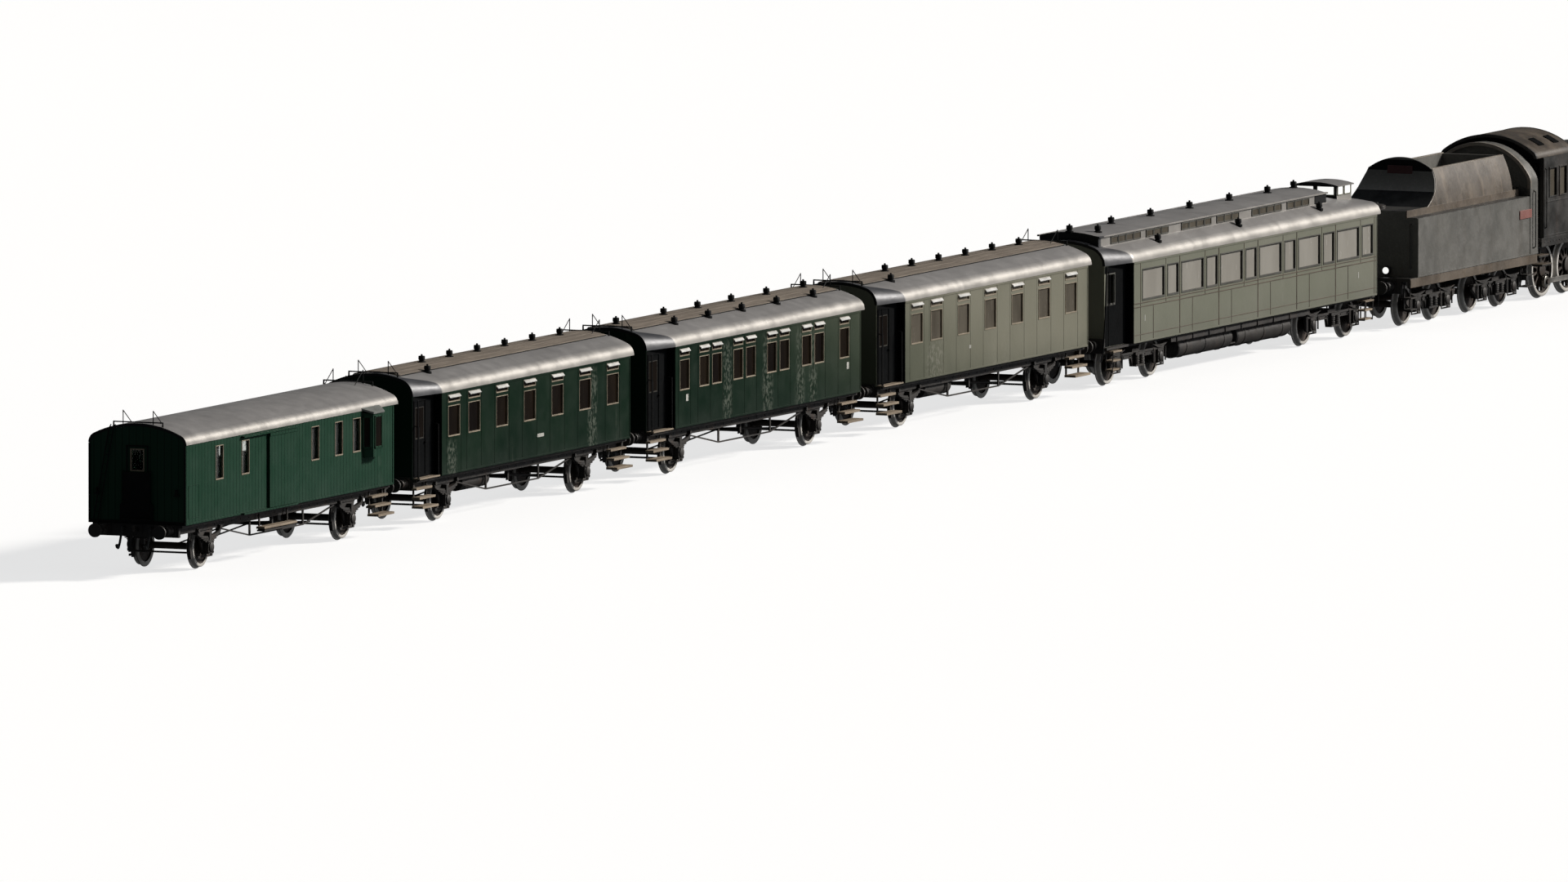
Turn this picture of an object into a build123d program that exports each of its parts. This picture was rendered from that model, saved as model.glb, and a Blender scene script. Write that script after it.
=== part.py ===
from build123d import *
import math
import os

# HO scale (1:87) passenger train. +X points towards the locomotive, -Y is the near side,
# z = 0 is the bottom of the wheel flanges and x = 0 is the middle of the whole train.

# ---- track and wheels
FLANGE = 0.6
WHEEL_R = 5.75
DRIVER_R = 8.05
PILOT_R = 4.9
TYRE_OUTER_Y = 9.4
TYRE_INNER_Y = 7.8
TREAD_WIDTH = 1.1
AXLE_R = 1.0
JOURNAL_R = 0.6
JOURNAL_END_Y = 12.1
FIT = 0.05
AXLE_Z = FLANGE + WHEEL_R

# ---- shells
WALL = 1.0
ROOF_T = 0.8
ROOF_LIP = 0.25
ROOF_GAP = 0.05
PANE_T = 0.5

# ---- couplings and buffers
HEADSTOCK_T = 1.2
BUFFER_LENGTH = 7.5
BUFFER_SPREAD = 10.05
BUFFER_Z = FLANGE + 12.2
BUFFER_HEAD_R = 2.0
PIN_INSET = 4.0
PIN_R = 0.6
PIN_HEAD_R = 1.1
BAR_Z = FLANGE + 8.6
BAR_T = 0.8
BAR_WIDTH = 2.6
BAR_CLEARANCE = 0.1

# ---- running gear under the floors
SOLE_Y = [10.3, 11.5]
SOLE_DEPTH = 3.0
FLOOR_T = 0.8
FLOOR_HALF = 14.0
BEAM_HALF = 12.9
GUARD_Y = [10.4, 11.0]
AXLEBOX_HALF = 1.8
AXLEBOX_OUT = 12.7
SPRING_HALF = 8.0
TRUSS_T = 0.4
TRUSS_Y = [10.6, 11.0]
TRUSS_INSET = 22.0
STEP_HALF = 5.5
STEP_T = 0.5
STEP_FIRST_DROP = 2.2
STEP_PITCH = 2.6
STEP_OUT = [13.9, 14.9, 15.9]
HANGER_Y = [12.3, 12.7]
HANGER_HALF = 0.3

# ---- van
VAN_LENGTH = 145.2
VAN_HALF = 15.1
VAN_BOTTOM = FLANGE + 13.75
VAN_EAVE = FLANGE + 36.7
VAN_TOP = FLANGE + 42.6
VAN_CROWN_R = 31.0
VAN_ROOF_OVERHANG = 3.0
VAN_AXLE_INSET = 23.0
VAN_WINDOWS = [23.4, 41.5, 90.4, 106.9, 119.4]
VAN_WINDOW_WIDTH = 5.5
VAN_WINDOW_Z = [FLANGE + 25.1, FLANGE + 35.0]
DOOR_X = [56.9, 76.4]
DOOR_TRAVEL = 18.5
DOOR_T = 0.7
DUCKET_X = [122.9, 134.6]
DUCKET_FACE = [125.4, 132.0]
DUCKET_OUT = 2.65
DUCKET_Z = [FLANGE + 23.3, FLANGE + 36.0]

# ---- four-wheel coaches
COACH_LENGTH = 149.1
COACH_HALF = 15.1
COACH_BOTTOM = FLANGE + 13.4
COACH_EAVE = FLANGE + 37.3
COACH_TOP = FLANGE + 43.7
COACH_CROWN_R = 30.5
COACH_AXLE_INSET = 25.0
COACH_ROOF_OVERHANG = 2.5
RECESS_LENGTH = 15.1
RECESS_DEPTH = 2.5
SEATING_WINDOWS = [8.7, 23.0, 42.7, 62.4, 82.1, 101.8, 121.5]
CLASS_WINDOWS = [6.8, 20.9, 30.0, 45.3, 54.4, 69.6, 78.7, 94.8, 103.9, 122.1]
COACH_WINDOW_WIDTHS = [8.4, 7.0]
COACH_WINDOW_Z = [FLANGE + 24.2, FLANGE + 33.2]
VENT_LIGHT_Z = [FLANGE + 34.1, FLANGE + 36.3]
RECESS_WINDOW_X = 4.8
RECESS_WINDOW_WIDTH = 6.1

# ---- bogie coach
SALOON_LENGTH = 197.2
SALOON_BOTTOM = FLANGE + 11.5
SALOON_EAVE = FLANGE + 35.5
SALOON_TOP = FLANGE + 42.6
SALOON_CROWN_R = 26.0
SALOON_FRONT_TOP = FLANGE + 40.0
SALOON_FRONT_CROWN_R = 80.0
SALOON_RECESS = 15.9
SALOON_BOGIE_INSET = 25.7
SALOON_WHEELBASE = 32.0
SALOON_WINDOW_Z = [FLANGE + 23.6, FLANGE + 33.1]
SALOON_PITCH = 29.03
SALOON_WIDE = 16.6
SALOON_NARROW = 8.3
SALOON_BAYS = 6
CLERESTORY_HALF = 9.45
CLERESTORY_BASE = FLANGE + 40.4
CLERESTORY_EAVE = FLANGE + 43.8
CLERESTORY_TOP = FLANGE + 45.0
CLERESTORY_X = [3.0, 172.0]
CUPOLA_X = [186.4, 197.3]
CUPOLA_HALF = 6.87
CUPOLA_BASE = FLANGE + 39.3
CUPOLA_EAVE = FLANGE + 44.5
CUPOLA_TOP = FLANGE + 45.5
CUPOLA_OVERHANG = 0.6

# ---- tender
TENDER_LENGTH = 96.1
TANK_START = 5.2
TENDER_HALF = 16.67
TENDER_BOTTOM = FLANGE + 14.6
TENDER_DECK = FLANGE + 32.1
TENDER_BOGIES = [22.85, 72.95]
TENDER_WHEELBASE = 22.4
LEDGE_TOP = FLANGE + 34.0
LEDGE_FRONT = 89.4
LEDGE_HALF = 13.1
BUNKER_FOOT = 20.1
BUNKER_REAR = 31.1
BUNKER_FRONT = 85.0
BUNKER_TOP = FLANGE + 44.6
BUNKER_CREST = 3.3
BUNKER_HALF = 10.1
BUNKER_WAIST_HALF = 12.1
BUNKER_WAIST_X = 28.6
BUNKER_WAIST_Z = FLANGE + 39.75
BUNKER_WALL = 1.0
HOOD_START = 90.6
HOOD_EAVE = FLANGE + 36.1
HOOD_TOP = FLANGE + 47.6
HOOD_CROWN_R = 18.5

# ---- locomotive
LOCO_LENGTH = 90.0
LOCO_HALF = 15.6
DRIVER_X = [15.3, 34.3, 53.3]
PILOT_X = 75.0
DRIVER_Z = FLANGE + DRIVER_R
PILOT_Z = FLANGE + PILOT_R
DRIVER_AXLE_R = 1.5
HUB_R = 2.1
BOSS_R = 1.75
WEB_Y = [8.2, 8.95]
SPOKES = 12
CRANK_RADIUS = 3.6
CRANK_PIN_R = 0.8
CRANK_PIN_OUT = 2.2
ROD_T = 0.8
ROD_GAP = 0.35
FRAME_HALF = 6.4
RUNNING_BOARD_Z = FLANGE + 17.6
RUNNING_BOARD_T = 0.9
BOILER_Z = FLANGE + 28.8
BOILER_R = 9.6
BOILER_START = 22.5
SMOKEBOX_START = 67.0
BOILER_END = 82.0
CAB_ROOF_REAR = 3.3
CAB_EAVE = FLANGE + 42.7
CAB_TOP = FLANGE + 49.4
CAB_CROWN_R = 24.0

# ---- places along the train
GAPS = [19.1, 17.2, 17.2, 18.0, 22.0, 5.0]
LENGTHS = [VAN_LENGTH] + [COACH_LENGTH] * 3 + [SALOON_LENGTH, TENDER_LENGTH, LOCO_LENGTH]
TRAIN_LENGTH = sum(LENGTHS) + sum(GAPS) + 2 * BUFFER_LENGTH
STARTS = [-TRAIN_LENGTH / 2 + BUFFER_LENGTH]
for gap, length in zip(GAPS, LENGTHS):
    STARTS.append(STARTS[-1] + length + gap)
VAN_X, COACH_1_X, COACH_2_X, COACH_3_X, SALOON_X, TENDER_X, LOCO_X = STARTS

os.makedirs("parts", exist_ok=True)


def save(builder, name):
    """Label a finished piece and write it as one STEP file."""
    builder.part.label = name
    export_step(builder.part, f"parts/{name}.step")


# ---- small shapes that are added to, or cut from, the piece being built
def block(xs, ys, zs, mode=Mode.ADD):
    """A box between two corners."""
    with BuildSketch(Plane.XY.offset(zs[0])) as outline:
        with Locations(((xs[0] + xs[1]) / 2, (ys[0] + ys[1]) / 2)):
            Rectangle(xs[1] - xs[0], ys[1] - ys[0])
    extrude(outline.sketch, amount=zs[1] - zs[0], mode=mode)


def side_plate(points, y0, y1, mode=Mode.ADD):
    """An outline of (x, z) points, from y0 to y1 across the train."""
    with BuildSketch(Plane.XZ.offset(-y0)) as outline:
        with BuildLine():
            Polyline(*points, close=True)
        make_face()
    extrude(outline.sketch, amount=y0 - y1, mode=mode)


def cross_plate(points, x0, x1, mode=Mode.ADD):
    """An outline of (y, z) points, from x0 to x1 along the train."""
    with BuildSketch(Plane.YZ.offset(x0)) as outline:
        with BuildLine():
            Polyline(*points, close=True)
        make_face()
    extrude(outline.sketch, amount=x1 - x0, mode=mode)


def rod_x(x0, x1, y, z, radius, mode=Mode.ADD):
    """A round bar along the train."""
    with BuildSketch(Plane.YZ.offset(x0)) as outline:
        with Locations((y, z)):
            Circle(radius)
    extrude(outline.sketch, amount=x1 - x0, mode=mode)


def rod_y(y0, y1, x, z, radius, mode=Mode.ADD):
    """A round bar across the train."""
    with BuildSketch(Plane.XZ.offset(-y0)) as outline:
        with Locations((x, z)):
            Circle(radius)
    extrude(outline.sketch, amount=y0 - y1, mode=mode)


def rod_z(z0, z1, x, y, radius, mode=Mode.ADD):
    """A round upright bar."""
    with BuildSketch(Plane.XY.offset(z0)) as outline:
        with Locations((x, y)):
            Circle(radius)
    extrude(outline.sketch, amount=z1 - z0, mode=mode)


# ---- arched roofs: a crown arc that meets a smaller corner arc at each eave
def arch_points(half, eave, top, crown_r, inset):
    """Eave, corner middle and crown junction of one side, for the line inset below the surface."""
    rise = top - eave
    corner = (2 * crown_r * rise - half**2 - rise**2) / (2 * (crown_r - half))
    centre_y = half - corner
    lean = math.atan2(centre_y, eave - top + crown_r)
    radius = corner - inset
    middle = (math.pi / 2 - lean) / 2
    eave_point = (half - inset, eave)
    middle_point = (centre_y + radius * math.cos(middle), eave + radius * math.sin(middle))
    junction = (centre_y + radius * math.sin(lean), eave + radius * math.cos(lean))
    return eave_point, middle_point, junction


def arch_line(near, far, eave, top, crown_r, inset):
    """The arch from the near eave over the crown to the far eave, in the current line."""
    near_eave, near_middle, near_joint = arch_points(near, eave, top, crown_r, inset)
    far_eave, far_middle, far_joint = arch_points(far, eave, top, crown_r, inset)
    with BuildLine(mode=Mode.PRIVATE) as arch:
        ThreePointArc((-near_eave[0], near_eave[1]), (-near_middle[0], near_middle[1]),
                      (-near_joint[0], near_joint[1]))
        ThreePointArc((-near_joint[0], near_joint[1]), (0, top - inset), far_joint)
        ThreePointArc(far_joint, far_middle, far_eave)
    return arch.line


def roof_section(x, near, far, eave, top, crown_r):
    """The closed section of a roof shell at one place along the vehicle."""
    with BuildSketch(Plane.YZ.offset(x)) as section:
        with BuildLine():
            add(arch_line(near, far, eave, top, crown_r, 0))
            add(arch_line(near, far, eave, top, crown_r, ROOF_T))
            Line((-near, eave), (-near + ROOF_T, eave))
            Line((far, eave), (far - ROOF_T, eave))
        make_face()
    return section.sketch


def gable(x0, x1, near, far, base, eave, top, crown_r):
    """The end wall between x0 and x1, up to just under the roof shell."""
    under = ROOF_T + ROOF_GAP
    with BuildSketch(Plane.YZ.offset(x0)) as outline:
        with BuildLine():
            add(arch_line(near, far, eave, top, crown_r, under))
            Polyline((-near + under, eave), (-near + under, base), (far - under, base), (far - under, eave))
        make_face()
    extrude(outline.sketch, amount=x1 - x0)


def arch_between(first, last, share):
    """The (eave, top, crown radius) of an arch part of the way from one arch to another."""
    eave, top, crown_r = first
    last_eave, last_top, last_crown_r = last
    curvature = (1 - share) / crown_r + share / last_crown_r
    return eave + share * (last_eave - eave), top + share * (last_top - top), 1 / curvature


# ---- bodies with a door recess at the near rear and far front corners
def plan_outline(x0, x1, half, depth, recess, inset):
    """Outline of the body seen from above, with every wall moved in by inset."""
    narrow = half - depth - inset
    wide = half - inset
    return [
        (x0 + inset, -narrow),
        (x0 + recess + inset, -narrow),
        (x0 + recess + inset, -wide),
        (x1 - inset, -wide),
        (x1 - inset, narrow),
        (x1 - recess - inset, narrow),
        (x1 - recess - inset, wide),
        (x0 + inset, wide),
    ]


def walls(outline, inner, z0, z1):
    """Upright walls between two outlines."""
    with BuildSketch(Plane.XY.offset(z0)) as plan:
        with BuildLine():
            Polyline(*outline, close=True)
        make_face()
        with BuildLine():
            Polyline(*inner, close=True)
        make_face(mode=Mode.SUBTRACT)
    extrude(plan.sketch, amount=z1 - z0)


def cut_windows(side_y, centres, width, zs):
    """Window openings through the wall whose outer face is at side_y."""
    outward = math.copysign(1, side_y)
    with BuildSketch(Plane.XZ.offset(-side_y - outward * 0.5)) as openings:
        with Locations([(x, (zs[0] + zs[1]) / 2) for x in centres]):
            Rectangle(width, zs[1] - zs[0])
    extrude(openings.sketch, amount=outward * (WALL + 1.0), mode=Mode.SUBTRACT)


def turned(x0, x1, centres):
    """Places on the far side that match centres on the near side turned half way round."""
    return [x0 + x1 - x for x in centres]


def coach_body(name, xs, bottom, arches, half, recess, window_rows, recess_window_z):
    """Side and end walls of a coach, with its windows on both sides."""
    x0, x1 = xs
    rear_arch, front_arch = arches
    outer = plan_outline(x0, x1, half, RECESS_DEPTH, recess, 0)
    inner = plan_outline(x0, x1, half, RECESS_DEPTH, recess, WALL)
    with BuildPart() as body:
        walls(outer, inner, bottom, rear_arch[0])
        wide = half + ROOF_LIP
        narrow = wide - RECESS_DEPTH
        gable(x0, x0 + WALL, narrow, wide, bottom, *rear_arch)
        gable(x1 - WALL, x1, wide, narrow, bottom, *front_arch)
        for centres, width, row_zs in window_rows:
            near = [x0 + recess + x for x in centres]
            cut_windows(-half, near, width, row_zs)
            cut_windows(half, turned(x0, x1, near), width, row_zs)
        door_x = x0 + RECESS_WINDOW_X
        cut_windows(-half + RECESS_DEPTH, [door_x], RECESS_WINDOW_WIDTH, recess_window_z)
        cut_windows(half - RECESS_DEPTH, turned(x0, x1, [door_x]), RECESS_WINDOW_WIDTH, recess_window_z)
    save(body, name)


def coach_roof(name, xs, fall_x, arches, half, recess, extras):
    """Roof shell that narrows over the two door recesses and may fall from fall_x to its front end."""
    x0, x1 = xs
    rear_arch, front_arch = arches
    wide = half + ROOF_LIP
    narrow = wide - RECESS_DEPTH
    shoulder_x = x1 - recess
    shoulder_arch = arch_between(rear_arch, front_arch, (shoulder_x - fall_x) / (x1 - fall_x))
    with BuildPart() as roof:
        rear = roof_section(x0, narrow, wide, *rear_arch)
        full_rear = roof_section(x0 + recess, wide, wide, *rear_arch)
        shoulder = roof_section(shoulder_x, wide, wide, *shoulder_arch)
        front = roof_section(x1, wide, narrow, *front_arch)
        loft([rear, full_rear])
        extrude(full_rear, amount=fall_x - x0 - recess)
        if fall_x < shoulder_x:
            loft([roof_section(fall_x, wide, wide, *rear_arch), shoulder])
        loft([shoulder, front])
        extrude(front, amount=COACH_ROOF_OVERHANG)
        extras()
    save(roof, name)


def side_panes(name, x0, x1, half, recess, zs):
    """One clear strip behind the windows of each side."""
    outer = half - WALL - ROOF_GAP
    clear = WALL + 1.0
    with BuildPart() as glazing:
        block((x0 + recess + clear, x1 - clear), (-outer, -outer + PANE_T), zs)
        block((x0 + clear, x1 - recess - clear), (outer - PANE_T, outer), zs)
    save(glazing, name)


# ---- wheelsets
def wheel_outline(radius, hub_r, half_web):
    """(r, y) points of one wheel and its half of the axle, from the journal to the middle."""
    flange_y = TYRE_OUTER_Y - TREAD_WIDTH
    middle = (TYRE_OUTER_Y + TYRE_INNER_Y) / 2
    rim = radius - 0.85
    return [
        (JOURNAL_R, TYRE_OUTER_Y + 0.9),
        (hub_r, TYRE_OUTER_Y + 0.1),
        (hub_r, middle + half_web),
        (rim, middle + half_web),
        (rim, TYRE_OUTER_Y),
        (radius, TYRE_OUTER_Y),
        (radius, flange_y),
        (radius + FLANGE, flange_y - 0.25),
        (radius + FLANGE, TYRE_INNER_Y + 0.1),
        (radius + FLANGE - 0.2, TYRE_INNER_Y),
        (rim, TYRE_INNER_Y),
        (rim, middle - half_web),
        (hub_r, middle - half_web),
        (hub_r, TYRE_INNER_Y - 0.2),
    ]


def wheelset(name, x, z, radius):
    """Two disc wheels on an axle with thin journals."""
    near_half = wheel_outline(radius, 1.7, 0.3)
    far_half = [(r, -y) for r, y in reversed(near_half)]
    profile = [(0, JOURNAL_END_Y), (JOURNAL_R, JOURNAL_END_Y)] + near_half
    profile += [(AXLE_R, TYRE_INNER_Y - 0.2), (AXLE_R, -TYRE_INNER_Y + 0.2)]
    profile += far_half + [(JOURNAL_R, -JOURNAL_END_Y), (0, -JOURNAL_END_Y)]
    with BuildPart() as wheels:
        with BuildSketch(Plane.XY.offset(z)):
            with BuildLine():
                Polyline(*[(x + r, y) for r, y in profile], close=True)
            make_face()
        revolve(axis=Axis((x, 0, z), (0, 1, 0)))
    save(wheels, name)


# ---- running gear shared by the underframes
def buffer_pair(x, outward):
    """Two buffers on a headstock whose outer face is at x."""
    for side in (-1, 1):
        y = side * BUFFER_SPREAD
        guide_end = x + outward * 3.4
        head_start = x + outward * (BUFFER_LENGTH - 0.6)
        face = x + outward * BUFFER_LENGTH
        rod_x(min(x, guide_end), max(x, guide_end), y, BUFFER_Z, 1.2)
        rod_x(min(guide_end, head_start), max(guide_end, head_start), y, BUFFER_Z, 0.75)
        rod_x(min(head_start, face), max(head_start, face), y, BUFFER_Z, BUFFER_HEAD_R)


def coupling_pin(x, floor_z, headed):
    """A drag box under the floor and the upright pin that a drawbar turns on."""
    shoulder = BAR_Z + BAR_T + BAR_CLEARANCE
    under_bar = BAR_Z - BAR_CLEARANCE
    block((x - 1.7, x + 1.7), (-2.2, 2.2), (shoulder, floor_z))
    rod_z(under_bar, shoulder, x, 0, PIN_R)
    if headed:
        rod_z(under_bar - 0.5, under_bar, x, 0, PIN_HEAD_R)
    else:
        rod_z(under_bar - 0.8, under_bar, x, 0, PIN_R)


def axle_guard(x, top_z):
    """Guard plates, axleboxes and leaf springs of one axle, with bores for its journals."""
    for side in (-1, 1):
        foot_z = AXLE_Z - 2.2
        spring_z = AXLE_Z + 1.9
        tip_top = spring_z + 2.6
        tip_under = spring_z + 2.1
        rear_tip = x - SPRING_HALF
        front_tip = x + SPRING_HALF
        guard = [(x - 5.2, top_z), (x - AXLEBOX_HALF, foot_z), (x + AXLEBOX_HALF, foot_z), (x + 5.2, top_z)]
        side_plate(guard, side * GUARD_Y[0], side * GUARD_Y[1])
        box_ys = sorted((side * GUARD_Y[1], side * AXLEBOX_OUT))
        block((x - AXLEBOX_HALF, x + AXLEBOX_HALF), box_ys, (AXLE_Z - 1.9, spring_z))
        with BuildSketch(Plane.XZ.offset(-side * 11.2)) as leaf:
            with BuildLine():
                ThreePointArc((rear_tip, tip_top), (x, spring_z + 1.3), (front_tip, tip_top))
                Line((front_tip, tip_top), (front_tip, tip_under))
                ThreePointArc((front_tip, tip_under), (x, spring_z), (rear_tip, tip_under))
                Line((rear_tip, tip_under), (rear_tip, tip_top))
            make_face()
        extrude(leaf.sketch, amount=-side * 1.0)
        for end in (-1, 1):
            hanger_x = x + end * (SPRING_HALF - 0.4)
            block((hanger_x - 0.4, hanger_x + 0.4), sorted((side * 10.8, side * 12.0)),
                  (tip_under, top_z + 0.4))
        rod_y(side * 10.0, side * 12.3, x, AXLE_Z, JOURNAL_R + FIT, mode=Mode.SUBTRACT)


def hanger(x, side, bottom, top_z):
    """One upright strap that carries step boards."""
    ys = sorted((side * HANGER_Y[0], side * HANGER_Y[1]))
    block((x - HANGER_HALF, x + HANGER_HALF), ys, (bottom, top_z + 0.2))


def step_tiers(x, side, top_z, half_length=STEP_HALF):
    """A hanging set of wooden step boards below a door, each wider than the one above."""
    for rung, outer in enumerate(STEP_OUT):
        z = top_z - STEP_FIRST_DROP - STEP_PITCH * rung
        block((x - half_length, x + half_length), sorted((side * 12.6, side * outer)), (z, z + STEP_T))
    lowest = top_z - STEP_FIRST_DROP - STEP_PITCH * (len(STEP_OUT) - 1)
    for end in (-1, 1):
        hanger(x + end * (half_length - 1.0), side, lowest, top_z)


def long_footboard(xs, side, z, top_z):
    """A footboard hung on two rods below a door."""
    block(xs, sorted((side * 12.5, side * STEP_OUT[1])), (z, z + STEP_T))
    for x in (xs[0] + 1.5, xs[1] - 1.5):
        hanger(x, side, z, top_z)


def truss_rod(xs, side, top_z, drop):
    """A bar that runs from one spring down to two posts and up to the other spring."""
    low = top_z - drop
    posts = (xs[0] + TRUSS_INSET, xs[1] - TRUSS_INSET)
    line = [(xs[0], top_z - 0.3), (posts[0], low), (posts[1], low), (xs[1], top_z - 0.3)]
    under = [(x, z - TRUSS_T) for x, z in reversed(line)]
    side_plate(line + under, side * TRUSS_Y[0], side * TRUSS_Y[1])
    for x in posts:
        block((x - 0.4, x + 0.4), sorted((side * TRUSS_Y[0], side * TRUSS_Y[1])), (low, top_z))


def floor_and_beams(x0, x1, floor_z):
    """Floor plate, the two sole bars and a headstock at each end."""
    under_floor = floor_z - FLOOR_T
    block((x0, x1), (-FLOOR_HALF, FLOOR_HALF), (under_floor, floor_z))
    for side in (-1, 1):
        block((x0, x1), sorted((side * SOLE_Y[0], side * SOLE_Y[1])), (floor_z - SOLE_DEPTH, under_floor))
    for end_x in (x0, x1 - HEADSTOCK_T):
        block((end_x, end_x + HEADSTOCK_T), (-BEAM_HALF, BEAM_HALF), (BUFFER_Z - 2.0, under_floor))


def four_wheel_underframe(name, x0, x1, floor_z, axles, headed, extras):
    """Underframe of a vehicle with two fixed axles."""
    under_floor = floor_z - FLOOR_T
    sole_bottom = floor_z - SOLE_DEPTH
    with BuildPart() as frame:
        floor_and_beams(x0, x1, floor_z)
        for axle_x in axles:
            axle_guard(axle_x, sole_bottom + 0.4)
        for side in (-1, 1):
            truss_rod((axles[0] + 9.0, axles[1] - 9.0), side, sole_bottom + 0.2, 4.2)
        extras(under_floor)
        buffer_pair(x0, -1)
        buffer_pair(x1, 1)
        coupling_pin(x0 + PIN_INSET, under_floor, headed)
        coupling_pin(x1 - PIN_INSET, under_floor, True)
    save(frame, name)


# ---- luggage van
def make_van():
    """The luggage van, with its sliding door and the lookout bay on each side."""
    x0 = VAN_X
    x1 = VAN_X + VAN_LENGTH
    wide = VAN_HALF + ROOF_LIP
    door = [VAN_X + x for x in DOOR_X]
    windows = [VAN_X + x for x in VAN_WINDOWS]
    axles = [x0 + VAN_AXLE_INSET, x1 - VAN_AXLE_INSET]
    rail_z = VAN_EAVE - 0.9

    with BuildPart() as body:
        outer = plan_outline(x0, x1, VAN_HALF, 0, RECESS_LENGTH, 0)
        inner = plan_outline(x0, x1, VAN_HALF, 0, RECESS_LENGTH, WALL)
        corners = [outer[0], outer[3], outer[4], outer[7]]
        inner_corners = [inner[0], inner[3], inner[4], inner[7]]
        walls(corners, inner_corners, VAN_BOTTOM, VAN_EAVE)
        for end_x in (x0, x1 - WALL):
            gable(end_x, end_x + WALL, wide, wide, VAN_BOTTOM, VAN_EAVE, VAN_TOP, VAN_CROWN_R)
        for side in (-1, 1):
            bay = [
                (VAN_X + DUCKET_X[0], side * (VAN_HALF - 0.4)),
                (VAN_X + DUCKET_FACE[0], side * (VAN_HALF + DUCKET_OUT)),
                (VAN_X + DUCKET_FACE[1], side * (VAN_HALF + DUCKET_OUT)),
                (VAN_X + DUCKET_X[1], side * (VAN_HALF - 0.4)),
            ]
            with BuildSketch(Plane.XY.offset(DUCKET_Z[0])) as bay_plan:
                with BuildLine():
                    Polyline(*bay, close=True)
                make_face()
            extrude(bay_plan.sketch, amount=DUCKET_Z[1] - DUCKET_Z[0])
            cut_windows(side * VAN_HALF, windows, VAN_WINDOW_WIDTH, VAN_WINDOW_Z)
            rail_ys = sorted((side * (VAN_HALF - 0.2), side * (VAN_HALF + 1.1)))
            block((door[0] - DOOR_TRAVEL, door[1]), rail_ys, (rail_z, rail_z + 0.5))
            block((door[0] - DOOR_TRAVEL, door[1]), rail_ys, (VAN_BOTTOM, VAN_BOTTOM + 0.5))
        cross_plate([(-2.2, VAN_BOTTOM + 15.1), (2.2, VAN_BOTTOM + 15.1), (2.2, VAN_BOTTOM + 21.6),
                     (-2.2, VAN_BOTTOM + 21.6)], x0 - 0.5, x0 + WALL + 0.5, mode=Mode.SUBTRACT)
        cut_windows(-VAN_HALF, [sum(door) / 2], door[1] - door[0] - 2.0, (VAN_BOTTOM + 1.2, rail_z - 0.8))
    save(body, "van_body")

    with BuildPart() as roof:
        extrude(roof_section(x0, wide, wide, VAN_EAVE, VAN_TOP, VAN_CROWN_R),
                amount=VAN_LENGTH + VAN_ROOF_OVERHANG)
    save(roof, "van_roof")

    def fittings(floor_z):
        for side in (-1, 1):
            long_footboard((door[0] - 1.5, door[1] + 1.5), side, floor_z - 5.4, floor_z)
            step_tiers(VAN_X + 138.5, side, floor_z)

    four_wheel_underframe("van_underframe", x0, x1, VAN_BOTTOM, axles, False, fittings)
    side_panes("van_glazing", x0, x1, VAN_HALF, 0, (VAN_WINDOW_Z[0] - 1.0, VAN_WINDOW_Z[1] + 1.0))

    door_y = -VAN_HALF - 0.15
    with BuildPart() as panel:
        door_zs = (VAN_BOTTOM + 0.6, rail_z - 0.1)
        block(door, (door_y - DOOR_T, door_y), door_zs)
    save(panel, "van_sliding_door")
    for place, axle_x in zip(("rear", "front"), axles):
        wheelset(f"van_{place}_wheelset", axle_x, AXLE_Z, WHEEL_R)


# ---- four-wheel coaches
def make_coach(number, x0, centres, window_width, tank_side):
    """One four-wheel coach with an open-sided door recess at opposite corners."""
    x1 = x0 + COACH_LENGTH
    name = f"coach_{number}"
    arch = (COACH_EAVE, COACH_TOP, COACH_CROWN_R)
    rows = [(centres, window_width, COACH_WINDOW_Z), (centres, window_width, VENT_LIGHT_Z)]
    coach_body(f"{name}_body", (x0, x1), COACH_BOTTOM, (arch, arch), COACH_HALF, RECESS_LENGTH, rows,
               (COACH_WINDOW_Z[0] + 0.6, COACH_WINDOW_Z[1] + 0.8))
    coach_roof(f"{name}_roof", (x0, x1), x1 - RECESS_LENGTH, (arch, arch), COACH_HALF,
               RECESS_LENGTH, lambda: None)
    side_panes(f"{name}_glazing", x0, x1, COACH_HALF, RECESS_LENGTH,
               (COACH_WINDOW_Z[0] - 1.0, VENT_LIGHT_Z[1] + 0.6))
    axles = [x0 + COACH_AXLE_INSET, x1 - COACH_AXLE_INSET]

    def fittings(floor_z):
        for side in (-1, 1):
            for step_x in (x0 + STEP_HALF, x1 - STEP_HALF):
                step_tiers(step_x, side, floor_z)
        if tank_side:
            rod_x(x0 + 41.0, x0 + 60.0, tank_side * 7.6, floor_z - 3.4, 2.6)
            for strap_x in (x0 + 44.0, x0 + 57.0):
                block((strap_x - 0.5, strap_x + 0.5), sorted((tank_side * 6.6, tank_side * 8.6)),
                      (floor_z - 1.6, floor_z))

    four_wheel_underframe(f"{name}_underframe", x0, x1, COACH_BOTTOM, axles, True, fittings)
    for place, axle_x in zip(("rear", "front"), axles):
        wheelset(f"{name}_{place}_wheelset", axle_x, AXLE_Z, WHEEL_R)


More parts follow.
